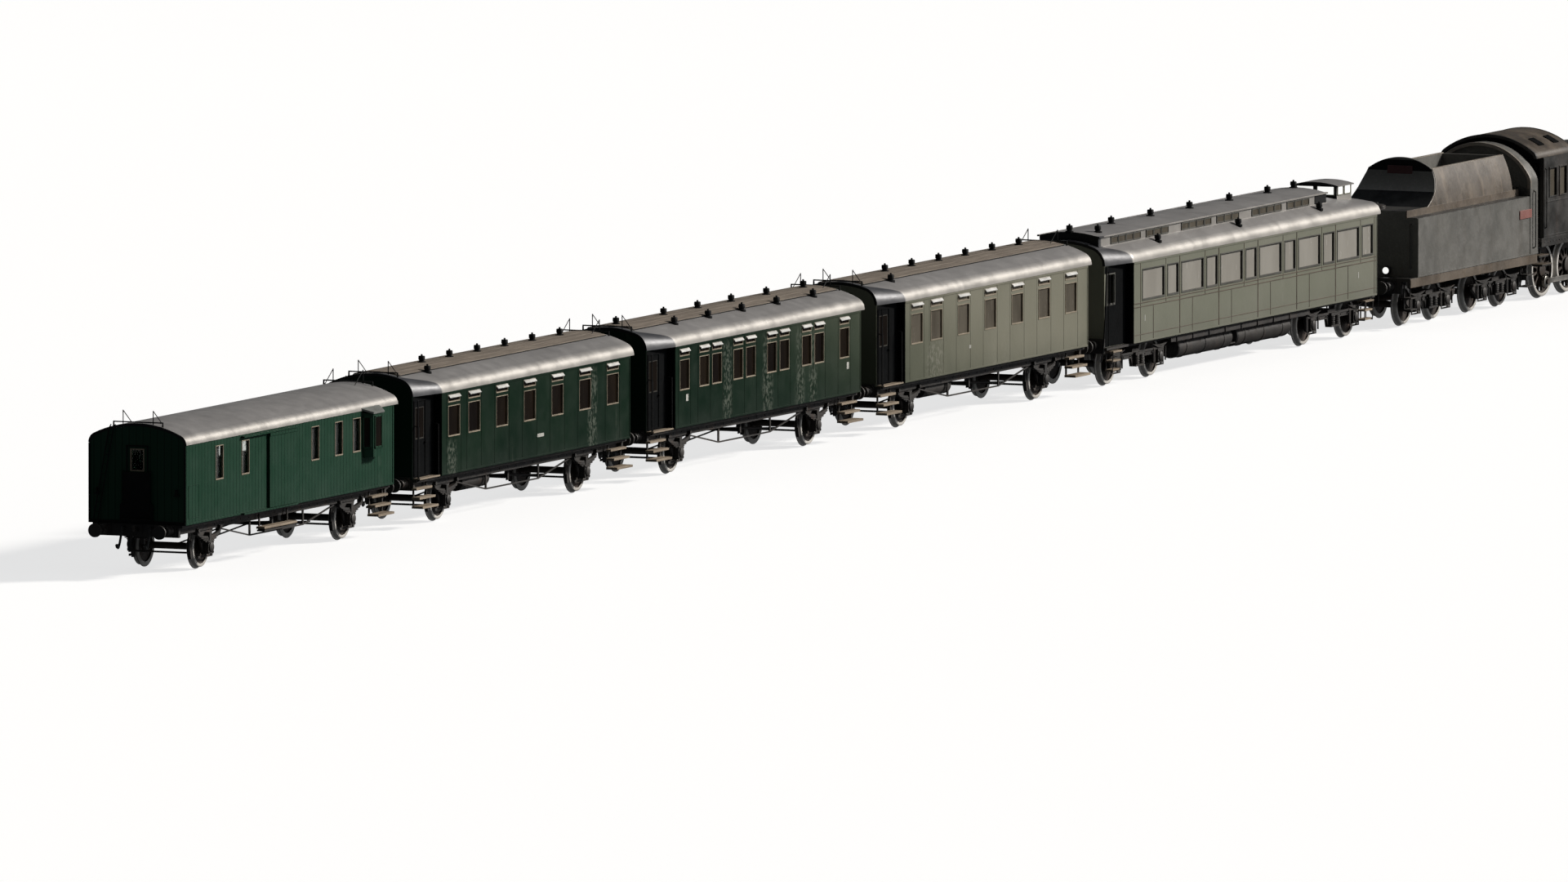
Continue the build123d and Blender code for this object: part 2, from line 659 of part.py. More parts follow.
# ---- bogies
def bogie(name, x, wheelbase, top_z, frame_y, frame_end):
    """Side frames with journal bores, joined by a bolster that carries the centre pin."""
    half = wheelbase / 2
    with BuildPart() as frame:
        for side in (-1, 1):
            ys = (side * frame_y, side * (frame_y + 0.9))
            reach = half + frame_end
            outline = [
                (x - reach, AXLE_Z + 2.6), (x - reach, AXLE_Z + 1.2), (x - half - 2.2, AXLE_Z - 2.0),
                (x - half + 2.2, AXLE_Z - 2.0), (x - half + 3.6, AXLE_Z + 0.9), (x - 4.2, AXLE_Z + 0.9),
                (x - 3.4, AXLE_Z - 1.6), (x + 3.4, AXLE_Z - 1.6), (x + 4.2, AXLE_Z + 0.9),
                (x + half - 3.6, AXLE_Z + 0.9), (x + half - 2.2, AXLE_Z - 2.0),
                (x + half + 2.2, AXLE_Z - 2.0), (x + reach, AXLE_Z + 1.2), (x + reach, AXLE_Z + 2.6),
            ]
            side_plate(outline, *ys)
            for axle_x in (x - half, x + half):
                block((axle_x - 1.8, axle_x + 1.8), sorted((side * 10.4, side * (frame_y + 1.6))),
                      (AXLE_Z - 1.9, AXLE_Z + 2.2))
                rod_y(side * 10.0, side * 12.3, axle_x, AXLE_Z, JOURNAL_R + FIT, mode=Mode.SUBTRACT)
            seat_ys = sorted((side * frame_y, side * (frame_y + 2.0)))
            block((x - 3.2, x + 3.2), seat_ys, (AXLE_Z - 1.6, AXLE_Z - 1.0))
            for spring_x in (x - 1.8, x + 1.8):
                rod_z(AXLE_Z - 1.0, AXLE_Z + 1.8, spring_x, side * (frame_y + 1.3), 0.9)
            block((x - 3.2, x + 3.2), seat_ys, (AXLE_Z + 1.8, AXLE_Z + 2.6))
        block((x - 2.6, x + 2.6), (-frame_y - 0.5, frame_y + 0.5), (AXLE_Z + 1.4, top_z - 0.3))
        rod_z(top_z - 0.3, top_z + 1.8, x, 0, 1.0)
    save(frame, name)


def bogie_seat(x, top_z, floor_z):
    """Centre casting under the floor, with a bore for the bogie's pin."""
    block((x - 3.5, x + 3.5), (-4.0, 4.0), (top_z, floor_z))
    rod_z(top_z - 0.1, top_z + 2.0, x, 0, 1.0 + FIT, mode=Mode.SUBTRACT)


# ---- bogie coach with a clerestory
def clerestory():
    """The raised middle of the roof and the lookout cupola beyond its front end."""
    x0, x1 = [SALOON_X + x for x in CLERESTORY_X]
    with BuildSketch(Plane.YZ.offset(x0)) as section:
        with BuildLine():
            Polyline((-CLERESTORY_HALF, CLERESTORY_EAVE), (-CLERESTORY_HALF, CLERESTORY_BASE),
                     (CLERESTORY_HALF, CLERESTORY_BASE), (CLERESTORY_HALF, CLERESTORY_EAVE))
            ThreePointArc((-CLERESTORY_HALF, CLERESTORY_EAVE), (0, CLERESTORY_TOP),
                          (CLERESTORY_HALF, CLERESTORY_EAVE))
        make_face()
    extrude(section.sketch, amount=x1 - x0)
    cupola = [SALOON_X + x for x in CUPOLA_X]
    block(cupola, (-CUPOLA_HALF, CUPOLA_HALF), (CUPOLA_BASE, CUPOLA_EAVE))
    hood_half = CUPOLA_HALF + CUPOLA_OVERHANG
    hood_edge = CUPOLA_EAVE - 0.3
    with BuildSketch(Plane.YZ.offset(cupola[0] - CUPOLA_OVERHANG)) as hood:
        with BuildLine():
            ThreePointArc((-hood_half, CUPOLA_EAVE), (0, CUPOLA_TOP), (hood_half, CUPOLA_EAVE))
            Polyline((hood_half, CUPOLA_EAVE), (hood_half, hood_edge), (-hood_half, hood_edge),
                     (-hood_half, CUPOLA_EAVE))
        make_face()
    extrude(hood.sketch, amount=cupola[1] - cupola[0] + 2 * CUPOLA_OVERHANG)


def make_saloon():
    """The long coach on two bogies."""
    x0 = SALOON_X
    x1 = SALOON_X + SALOON_LENGTH
    arches = ((SALOON_EAVE, SALOON_TOP, SALOON_CROWN_R),
              (SALOON_EAVE, SALOON_FRONT_TOP, SALOON_FRONT_CROWN_R))
    wide = [6.3 + SALOON_WIDE / 2 + SALOON_PITCH * bay for bay in range(SALOON_BAYS)]
    narrow = [x + SALOON_WIDE / 2 + 2.1 + SALOON_NARROW / 2 for x in wide]
    rows = [(wide, SALOON_WIDE, SALOON_WINDOW_Z), (narrow, SALOON_NARROW, SALOON_WINDOW_Z)]
    coach_body("saloon_body", (x0, x1), SALOON_BOTTOM, arches, COACH_HALF, SALOON_RECESS, rows,
               SALOON_WINDOW_Z)
    coach_roof("saloon_roof", (x0, x1), x0 + CLERESTORY_X[1], arches, COACH_HALF, SALOON_RECESS,
               clerestory)
    side_panes("saloon_glazing", x0, x1, COACH_HALF, SALOON_RECESS,
               (SALOON_WINDOW_Z[0] - 1.0, SALOON_WINDOW_Z[1] + 1.0))
    seat_z = AXLE_Z + 3.8
    pivots = [x0 + SALOON_BOGIE_INSET, x1 - SALOON_BOGIE_INSET]
    with BuildPart() as frame:
        floor_z = SALOON_BOTTOM
        block((x0 - HEADSTOCK_T, x1 + HEADSTOCK_T), (-14.0, 14.0), (floor_z - 0.7, floor_z))
        for end_x in (x0 - HEADSTOCK_T, x1):
            block((end_x, end_x + HEADSTOCK_T), (-12.9, 12.9), (BUFFER_Z - 2.4, BUFFER_Z + 1.9))
        for pivot_x in pivots:
            for axle_x in (pivot_x - SALOON_WHEELBASE / 2, pivot_x + SALOON_WHEELBASE / 2):
                for side in (-1, 1):
                    block((axle_x - 8.5, axle_x + 8.5), sorted((side * 4.8, side * 12.4)),
                          (floor_z - 1.0, floor_z), mode=Mode.SUBTRACT)
        for side in (-1, 1):
            block((pivots[0] + 24.0, pivots[1] - 24.0), sorted((side * 12.6, side * 13.6)),
                  (floor_z - 2.2, floor_z - 0.7))
        for pivot_x in pivots:
            bogie_seat(pivot_x, seat_z, floor_z - 0.7)
        for start in (0, 43.5):
            tank_x = pivots[0] + 32.0 + start
            rod_x(tank_x, tank_x + 39.0, -8.6, floor_z - 4.6, 3.3)
            for strap_x in (tank_x + 5.0, tank_x + 33.0):
                block((strap_x, strap_x + 1.0), (-9.4, -7.8), (floor_z - 2.0, floor_z - 0.7))
        block((pivots[0] + 40.0, pivots[0] + 62.0), (4.0, 12.0), (floor_z - 6.0, floor_z - 0.7))
        for side in (-1, 1):
            truss_rod((pivots[0] + 25.0, pivots[1] - 25.0), side, floor_z - 0.7, 5.6)
        buffer_pair(x0, -1)
        buffer_pair(x1, 1)
        coupling_pin(x0 + PIN_INSET, floor_z - 0.7, True)
        coupling_pin(x1 - PIN_INSET, floor_z - 0.7, True)
    save(frame, "saloon_underframe")
    half = SALOON_WHEELBASE / 2
    for place, pivot_x in zip(("rear", "front"), pivots):
        bogie(f"saloon_{place}_bogie", pivot_x, SALOON_WHEELBASE, seat_z, 11.0, 3.6)
        wheelset(f"saloon_{place}_bogie_wheelset_1", pivot_x - half, AXLE_Z, WHEEL_R)
        wheelset(f"saloon_{place}_bogie_wheelset_2", pivot_x + half, AXLE_Z, WHEEL_R)


# ---- tender
def bunker(x0):
    """Bunker sides that lean in towards the top, a rear plate that sweeps back, and the coal hollow."""
    foot = x0 + BUNKER_FOOT
    rear = x0 + BUNKER_REAR
    front = x0 + BUNKER_FRONT
    above = BUNKER_TOP + BUNKER_CREST + 1.0
    with BuildSketch(Plane.YZ.offset(foot)) as shell:
        with BuildLine():
            ThreePointArc((-BUNKER_HALF, BUNKER_TOP), (-BUNKER_WAIST_HALF, BUNKER_WAIST_Z),
                          (-LEDGE_HALF, LEDGE_TOP))
            Line((-LEDGE_HALF, LEDGE_TOP), (LEDGE_HALF, LEDGE_TOP))
            ThreePointArc((LEDGE_HALF, LEDGE_TOP), (BUNKER_WAIST_HALF, BUNKER_WAIST_Z),
                          (BUNKER_HALF, BUNKER_TOP))
            Line((BUNKER_HALF, BUNKER_TOP), (-BUNKER_HALF, BUNKER_TOP))
        make_face()
    extrude(shell.sketch, amount=front - foot)
    with BuildSketch(Plane.YZ.offset(rear)) as crest:
        with BuildLine():
            ThreePointArc((-BUNKER_HALF, BUNKER_TOP), (0, BUNKER_TOP + BUNKER_CREST),
                          (BUNKER_HALF, BUNKER_TOP))
            Line((BUNKER_HALF, BUNKER_TOP), (-BUNKER_HALF, BUNKER_TOP))
        make_face()
    extrude(crest.sketch, amount=BUNKER_WALL)
    with BuildSketch(Plane.XZ.offset(-TENDER_HALF)) as sweep_back:
        with BuildLine():
            ThreePointArc((foot, LEDGE_TOP), (x0 + BUNKER_WAIST_X, BUNKER_WAIST_Z), (rear, BUNKER_TOP))
            Polyline((rear, BUNKER_TOP), (rear, above), (x0, above), (x0, LEDGE_TOP), (foot, LEDGE_TOP))
        make_face()
    extrude(sweep_back.sketch, amount=2 * TENDER_HALF, mode=Mode.SUBTRACT)
    hollow = BUNKER_HALF - BUNKER_WALL
    block((rear + BUNKER_WALL, front - BUNKER_WALL), (-hollow, hollow), (LEDGE_TOP + 1.5, above),
          mode=Mode.SUBTRACT)


def make_tender():
    """Tank, coal bunker and running gear of the tender."""
    x0 = TENDER_X
    x1 = TENDER_X + TENDER_LENGTH
    tank_x = x0 + TANK_START
    hood_x = x0 + HOOD_START
    with BuildPart() as tank:
        block((tank_x, x1), (-TENDER_HALF, TENDER_HALF), (TENDER_BOTTOM, TENDER_DECK))
        block((tank_x, x0 + LEDGE_FRONT), (-LEDGE_HALF, LEDGE_HALF), (TENDER_DECK, LEDGE_TOP))
        bunker(x0)
        for side in (-1, 1):
            block((hood_x, x1), sorted((side * (TENDER_HALF - WALL), side * TENDER_HALF)),
                  (TENDER_DECK, HOOD_EAVE))
        extrude(roof_section(hood_x, TENDER_HALF, TENDER_HALF, HOOD_EAVE, HOOD_TOP, HOOD_CROWN_R),
                amount=x1 - hood_x)
        with BuildSketch(Plane.YZ.offset(hood_x + 1.6)) as bulkhead:
            with BuildLine():
                add(arch_line(TENDER_HALF, TENDER_HALF, HOOD_EAVE, HOOD_TOP, HOOD_CROWN_R, ROOF_T / 2))
                edge = TENDER_HALF - ROOF_T / 2
                Polyline((-edge, HOOD_EAVE), (-edge, TENDER_DECK - 1), (edge, TENDER_DECK - 1),
                         (edge, HOOD_EAVE))
            make_face()
        extrude(bulkhead.sketch, amount=1.0)
    save(tank, "tender_tank")

    seat_z = AXLE_Z + 4.0
    pivots = [x0 + x for x in TENDER_BOGIES]
    floor_z = TENDER_BOTTOM
    with BuildPart() as frame:
        block((x0, x1), (-TENDER_HALF + 0.3, TENDER_HALF - 0.3), (floor_z - 1.0, floor_z))
        for side in (-1, 1):
            block((x0, x1), sorted((side * (TENDER_HALF - 1.1), side * (TENDER_HALF - 0.3))),
                  (floor_z - 2.8, floor_z))
        for end_x in (x0, x1 - HEADSTOCK_T):
            block((end_x, end_x + HEADSTOCK_T), (-13.6, 13.6), (BUFFER_Z - 2.2, floor_z - 1.0))
        for pivot_x in pivots:
            bogie_seat(pivot_x, seat_z, floor_z - 1.0)
        buffer_pair(x0, -1)
        coupling_pin(x0 + PIN_INSET, floor_z - 1.0, True)
        coupling_pin(x1 - PIN_INSET, floor_z - 1.0, True)
    save(frame, "tender_underframe")
    half = TENDER_WHEELBASE / 2
    for place, pivot_x in zip(("rear", "front"), pivots):
        bogie(f"tender_{place}_bogie", pivot_x, TENDER_WHEELBASE, seat_z, 12.3, 7.0)
        wheelset(f"tender_{place}_bogie_wheelset_1", pivot_x - half, AXLE_Z, WHEEL_R)
        wheelset(f"tender_{place}_bogie_wheelset_2", pivot_x + half, AXLE_Z, WHEEL_R)


# ---- locomotive
def crank_place(side):
    """Crank pin offset of one side, a quarter turn apart left and right."""
    if side < 0:
        return 0, -CRANK_RADIUS
    return CRANK_RADIUS, 0


def driver_outline():
    """(r, y) points of one driving wheel: half the axle, web and tyre."""
    flange_y = TYRE_OUTER_Y - TREAD_WIDTH
    rim = DRIVER_R - 0.95
    return [
        (0, 0),
        (DRIVER_AXLE_R, 0),
        (DRIVER_AXLE_R, TYRE_INNER_Y - 0.2),
        (HUB_R, TYRE_INNER_Y - 0.2),
        (HUB_R, WEB_Y[0]),
        (rim, WEB_Y[0]),
        (rim, TYRE_INNER_Y),
        (DRIVER_R + FLANGE, TYRE_INNER_Y),
        (DRIVER_R + FLANGE, flange_y - 0.25),
        (DRIVER_R, flange_y),
        (DRIVER_R, TYRE_OUTER_Y),
        (rim, TYRE_OUTER_Y),
        (rim, WEB_Y[1]),
        (HUB_R, WEB_Y[1]),
        (HUB_R, TYRE_OUTER_Y + 0.15),
        (0, TYRE_OUTER_Y + 0.15),
    ]


def driver(name, x):
    """Spoked driving wheels on one axle, with a crank pin on each side."""
    gap = [(2.9, -0.42), (6.5, -1.3), (6.5, 1.3), (2.9, 0.42)]
    with BuildPart() as wheels:
        for side in (-1, 1):
            with BuildSketch(Plane.XY.offset(DRIVER_Z)) as half:
                with BuildLine():
                    Polyline(*[(x + r, side * y) for r, y in driver_outline()], close=True)
                make_face()
            revolve(half.sketch, axis=Axis((x, 0, DRIVER_Z), (0, 1, 0)))
        for side in (-1, 1):
            with BuildSketch(Plane.XZ.offset(-side * (WEB_Y[0] - 0.3))) as gaps:
                with Locations((x, DRIVER_Z)):
                    with PolarLocations(0, SPOKES):
                        Polygon(*gap, align=None)
            extrude(gaps.sketch, amount=-side * (WEB_Y[1] - WEB_Y[0] + 0.6), mode=Mode.SUBTRACT)
            offset_x, offset_z = crank_place(side)
            rod_y(side * WEB_Y[0], side * (TYRE_OUTER_Y + 0.15), x + offset_x, DRIVER_Z + offset_z, BOSS_R)
            rod_y(side * WEB_Y[0], side * (TYRE_OUTER_Y + CRANK_PIN_OUT), x + offset_x,
                  DRIVER_Z + offset_z, CRANK_PIN_R)
    save(wheels, name)


def coupling_rod(name, side, axles):
    """The rod that joins the three crank pins of one side."""
    offset_x, offset_z = crank_place(side)
    z = DRIVER_Z + offset_z
    y0 = side * (TYRE_OUTER_Y + 0.15 + ROD_GAP)
    y1 = y0 + side * ROD_T
    with BuildPart() as rod:
        block((axles[0] + offset_x, axles[-1] + offset_x), sorted((y0, y1)), (z - 0.75, z + 0.75))
        for axle_x in axles:
            rod_y(y0, y1, axle_x + offset_x, z, 1.6)
        for axle_x in axles:
            rod_y(y0 - side, y1 + side, axle_x + offset_x, z, CRANK_PIN_R + FIT, mode=Mode.SUBTRACT)
    save(rod, name)


def make_locomotive():
    """A generic inside-cylinder locomotive with three coupled axles and a leading truck."""
    x0 = LOCO_X
    x1 = LOCO_X + LOCO_LENGTH
    axles = [x0 + x for x in DRIVER_X]
    pilot = x0 + PILOT_X
    board_top = RUNNING_BOARD_Z + RUNNING_BOARD_T
    truck_top = PILOT_Z + 3.4

    with BuildPart() as frame:
        block((x0 + 9.5, pilot - 9.0), (-FRAME_HALF, FRAME_HALF), (DRIVER_Z - 3.0, RUNNING_BOARD_Z))
        block((x0, x0 + 9.5), (-FRAME_HALF, FRAME_HALF), (BAR_Z + BAR_T + 0.6, RUNNING_BOARD_Z))
        block((pilot - 9.0, x1), (-FRAME_HALF, FRAME_HALF), (truck_top + 0.3, RUNNING_BOARD_Z))
        block((x0, x1), (-LOCO_HALF, LOCO_HALF), (RUNNING_BOARD_Z, board_top))
        block((x1 - 1.4, x1), (-LOCO_HALF, LOCO_HALF), (BUFFER_Z - 2.4, RUNNING_BOARD_Z))
        for side in (-1, 1):
            step_tiers(x0 + 3.8, side, RUNNING_BOARD_Z, half_length=3.6)
            for axle_x in axles[1:]:
                arch_ys = sorted((side * 9.9, side * 12.6))
                rod_y(*arch_ys, axle_x, RUNNING_BOARD_Z - 3.0, 6.6)
                block((axle_x - 7, axle_x + 7), arch_ys, (0, RUNNING_BOARD_Z), mode=Mode.SUBTRACT)
        for axle_x in axles:
            rod_y(-FRAME_HALF - 1, FRAME_HALF + 1, axle_x, DRIVER_Z, DRIVER_AXLE_R + FIT, mode=Mode.SUBTRACT)
        rod_z(truck_top, truck_top + 2.6, pilot, 0, 1.0 + FIT, mode=Mode.SUBTRACT)
        buffer_pair(x1, 1)
        coupling_pin(x0 + PIN_INSET, RUNNING_BOARD_Z, True)
        coupling_pin(x1 - PIN_INSET, RUNNING_BOARD_Z, False)
    save(frame, "loco_frame")

    with BuildPart() as boiler:
        rod_x(x0 + BOILER_START + 1.5, x0 + BOILER_END, 0, BOILER_Z, BOILER_R)
        rod_x(x0 + SMOKEBOX_START, x0 + BOILER_END + 0.6, 0, BOILER_Z, BOILER_R + 0.5)
        rod_x(x0 + BOILER_END, x0 + BOILER_END + 1.6, 0, BOILER_Z, BOILER_R - 1.8)
        block((x0 + BOILER_START + 1.5, x0 + 44.0), (-8.0, 8.0), (board_top, BOILER_Z))
        block((x0 + SMOKEBOX_START + 1.0, x0 + BOILER_END), (-6.0, 6.0), (board_top, BOILER_Z - 5.0))
        rod_z(BOILER_Z + BOILER_R - 1.0, CAB_TOP - 0.6, x0 + 75.0, 0, 2.5)
        rod_z(CAB_TOP - 2.2, CAB_TOP - 0.6, x0 + 75.0, 0, 2.9)
        rod_z(BOILER_Z + BOILER_R - 1.0, BOILER_Z + BOILER_R + 4.4, x0 + 58.0, 0, 4.0)
        rod_z(BOILER_Z + BOILER_R - 1.0, BOILER_Z + BOILER_R + 3.4, x0 + 40.0, 0, 3.4)
        rod_z(BOILER_Z + BOILER_R - 1.0, BOILER_Z + BOILER_R + 3.6, x0 + 29.0, -1.6, 0.8)
        rod_z(BOILER_Z + BOILER_R - 1.0, BOILER_Z + BOILER_R + 3.6, x0 + 29.0, 1.6, 0.8)
        rod_z(CAB_TOP - 0.7, CAB_TOP, x0 + 75.0, 0, 1.7, mode=Mode.SUBTRACT)
    save(boiler, "loco_boiler")

    cab_front = x0 + BOILER_START + 1.4
    cab_half = LOCO_HALF - 0.2
    with BuildPart() as cab:
        under = ROOF_T + ROOF_GAP
        with BuildSketch(Plane.YZ.offset(cab_front - WALL)) as bulkhead:
            with BuildLine():
                add(arch_line(cab_half, cab_half, CAB_EAVE, CAB_TOP, CAB_CROWN_R, under))
                Polyline((-cab_half + under, CAB_EAVE), (-cab_half + under, board_top),
                         (cab_half - under, board_top), (cab_half - under, CAB_EAVE))
            make_face()
        extrude(bulkhead.sketch, amount=WALL)
        for side in (-1, 1):
            block((x0 + 2.4, cab_front), sorted((side * (cab_half - WALL), side * cab_half)),
                  (board_top, CAB_EAVE))
            window_z = (board_top + 12.0, CAB_EAVE - 3.4)
            cut_windows(side * cab_half, [x0 + 9.4, x0 + 17.0], 5.6, window_z)
        roof_x = x0 - CAB_ROOF_REAR
        extrude(roof_section(roof_x, cab_half, cab_half, CAB_EAVE, CAB_TOP, CAB_CROWN_R),
                amount=cab_front - roof_x + 1.0)
    save(cab, "loco_cab")

    with BuildPart() as truck:
        block((pilot - 6.0, pilot + 6.0), (-5.6, 5.6), (PILOT_Z + 2.0, truck_top))
        for side in (-1, 1):
            block((pilot - 2.4, pilot + 2.4), sorted((side * 4.4, side * 5.6)), (PILOT_Z - 1.8, PILOT_Z + 2.0))
        rod_z(truck_top, truck_top + 2.4, pilot, 0, 1.0)
        rod_y(-6, 6, pilot, PILOT_Z, AXLE_R + FIT, mode=Mode.SUBTRACT)
    save(truck, "loco_pilot_truck")

    with BuildPart() as pilot_wheels:
        wheel = wheel_outline(PILOT_R, 1.6, 0.3)[1:]
        outline = [(0, TYRE_OUTER_Y + 0.1)] + wheel + [(AXLE_R, TYRE_INNER_Y - 0.2)]
        outline += [(AXLE_R, -TYRE_INNER_Y + 0.2)] + [(r, -y) for r, y in reversed(wheel)]
        outline += [(0, -TYRE_OUTER_Y - 0.1)]
        with BuildSketch(Plane.XY.offset(PILOT_Z)):
            with BuildLine():
                Polyline(*[(pilot + r, y) for r, y in outline], close=True)
            make_face()
        revolve(axis=Axis((pilot, 0, PILOT_Z), (0, 1, 0)))
    save(pilot_wheels, "loco_pilot_wheelset")

    for number, axle_x in enumerate(axles, start=1):
        driver(f"loco_driver_{number}", axle_x)
    coupling_rod("loco_near_coupling_rod", -1, axles)
    coupling_rod("loco_far_coupling_rod", 1, axles)


# ---- drawbars between the vehicles
def make_drawbars():
    """One flat bar with a pin hole at each end for every pair of neighbours."""
    for number, (start, length, gap) in enumerate(zip(STARTS, LENGTHS, GAPS), start=1):
        rear_pin = start + length - PIN_INSET
        front_pin = start + length + gap + PIN_INSET
        with BuildPart() as bar:
            with BuildSketch(Plane.XY.offset(BAR_Z)):
                with Locations(((rear_pin + front_pin) / 2, 0)):
                    SlotCenterToCenter(front_pin - rear_pin, BAR_WIDTH)
                with Locations((rear_pin, 0), (front_pin, 0)):
                    Circle(PIN_R + FIT, mode=Mode.SUBTRACT)
            extrude(amount=BAR_T)
        save(bar, f"drawbar_{number}")


make_van()
make_coach(1, COACH_1_X, SEATING_WINDOWS, COACH_WINDOW_WIDTHS[0], -1)
make_coach(2, COACH_2_X, CLASS_WINDOWS, COACH_WINDOW_WIDTHS[1], 0)
make_coach(3, COACH_3_X, SEATING_WINDOWS, COACH_WINDOW_WIDTHS[0], -1)
make_saloon()
make_tender()
make_locomotive()
make_drawbars()
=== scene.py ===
import math

import bmesh
import bpy
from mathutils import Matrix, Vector


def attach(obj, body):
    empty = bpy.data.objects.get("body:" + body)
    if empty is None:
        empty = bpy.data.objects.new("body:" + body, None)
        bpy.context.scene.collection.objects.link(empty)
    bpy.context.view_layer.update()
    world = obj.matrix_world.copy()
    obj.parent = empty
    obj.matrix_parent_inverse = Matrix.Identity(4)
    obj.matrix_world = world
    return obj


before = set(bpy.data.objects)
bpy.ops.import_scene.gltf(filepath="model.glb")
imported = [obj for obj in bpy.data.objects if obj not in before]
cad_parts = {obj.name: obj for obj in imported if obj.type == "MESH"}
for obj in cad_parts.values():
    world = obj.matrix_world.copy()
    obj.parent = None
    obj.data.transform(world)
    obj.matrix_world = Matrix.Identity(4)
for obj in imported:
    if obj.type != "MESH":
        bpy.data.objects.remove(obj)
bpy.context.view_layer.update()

MM = 0.001

# where each vehicle's body starts along the train, and how long it is
VAN = -537.15
VAN_LENGTH = 145.2
COACHES = (-372.85, -206.55, -40.25)
COACH_LENGTH = 149.1
SALOON = 126.85
SALOON_LENGTH = 197.2
TENDER = 346.05
TENDER_LENGTH = 96.1
LOCO = 447.15

# axles and bogie pivots, from the start of their vehicle
VAN_AXLES = (23.0, 122.2)
COACH_AXLES = (25.0, 124.1)
SALOON_PIVOTS = (25.7, 171.5)
SALOON_HALF_BASE = 16.0
TENDER_PIVOTS = (22.85, 72.95)
TENDER_HALF_BASE = 11.2
DRIVER_AXLES = (15.3, 34.3, 53.3)
PILOT_AXLE = 75.0

# heights, and the radii of the carrying wheels' treads and rims
TREAD_R = 5.75
RIM_R = 4.9
AXLE_Z = 6.35
DRIVER_Z = 8.65
PILOT_Z = 5.5
BUFFER_Z = 12.8
COACH_FLOOR = 14.0
VAN_FLOOR = 14.35
BOILER_Z = 29.4
BUNKER_FOOT_Z = 34.6
BUNKER_TOP_Z = 45.2

# the face of the coaches' and the van's side walls
WALL_Y = 15.0

# roof sections: half width, height of the eaves, height of the crown, radius of the crown
COACH_ARCH = (15.35, 37.9, 44.3, 30.5)
VAN_ARCH = (15.35, 37.3, 43.2, 31.0)
SALOON_ARCH = (15.35, 36.1, 43.2, 26.0)
HOOD_ARCH = (16.67, 36.7, 48.2, 18.5)
CAB_ARCH = (15.4, 43.3, 50.0, 24.0)


# ---------------------------------------------------------------- shapes
def arch_parts(half, eave, top, crown_r):
    """Corner radius, corner centre and the lean where the crown meets the corner."""
    rise = top - eave
    corner = (2 * crown_r * rise - half**2 - rise**2) / (2 * (crown_r - half))
    centre_y = half - corner
    lean = math.atan2(centre_y, eave - top + crown_r)
    return corner, centre_y, lean


def arch_z(arch, y):
    """Height of an arched roof's surface at a distance from its middle."""
    _, eave, top, crown_r = arch
    corner, centre_y, lean = arch_parts(*arch)
    y = abs(y)
    if y <= crown_r * math.sin(lean):
        return top - crown_r + math.sqrt(crown_r**2 - y**2)
    return eave + math.sqrt(max(corner**2 - (y - centre_y) ** 2, 0))


def arch_points(arch, out, steps=12):
    """(y, z) points along an arched roof, moved outwards by out."""
    _, eave, top, crown_r = arch
    corner, centre_y, lean = arch_parts(*arch)
    side = []
    for step in range(steps):
        angle = step / steps * (math.pi / 2 - lean)
        side.append((centre_y + (corner + out) * math.cos(angle), eave + (corner + out) * math.sin(angle)))
    for step in range(steps + 1):
        angle = lean * (1 - step / steps)
        side.append(((crown_r + out) * math.sin(angle), top - crown_r + (crown_r + out) * math.cos(angle)))
    return [(-y, z) for y, z in side] + [(y, z) for y, z in reversed(side[:-1])]


def arc(centre, radius, degrees):
    """Points on a circle at the given angles."""
    angles = [math.radians(d) for d in degrees]
    return [(centre[0] + radius * math.cos(a), centre[1] + radius * math.sin(a)) for a in angles]


def across_ends(u, v, w):
    """An outline's point (across, up) at a distance along the train."""
    return w, u, v


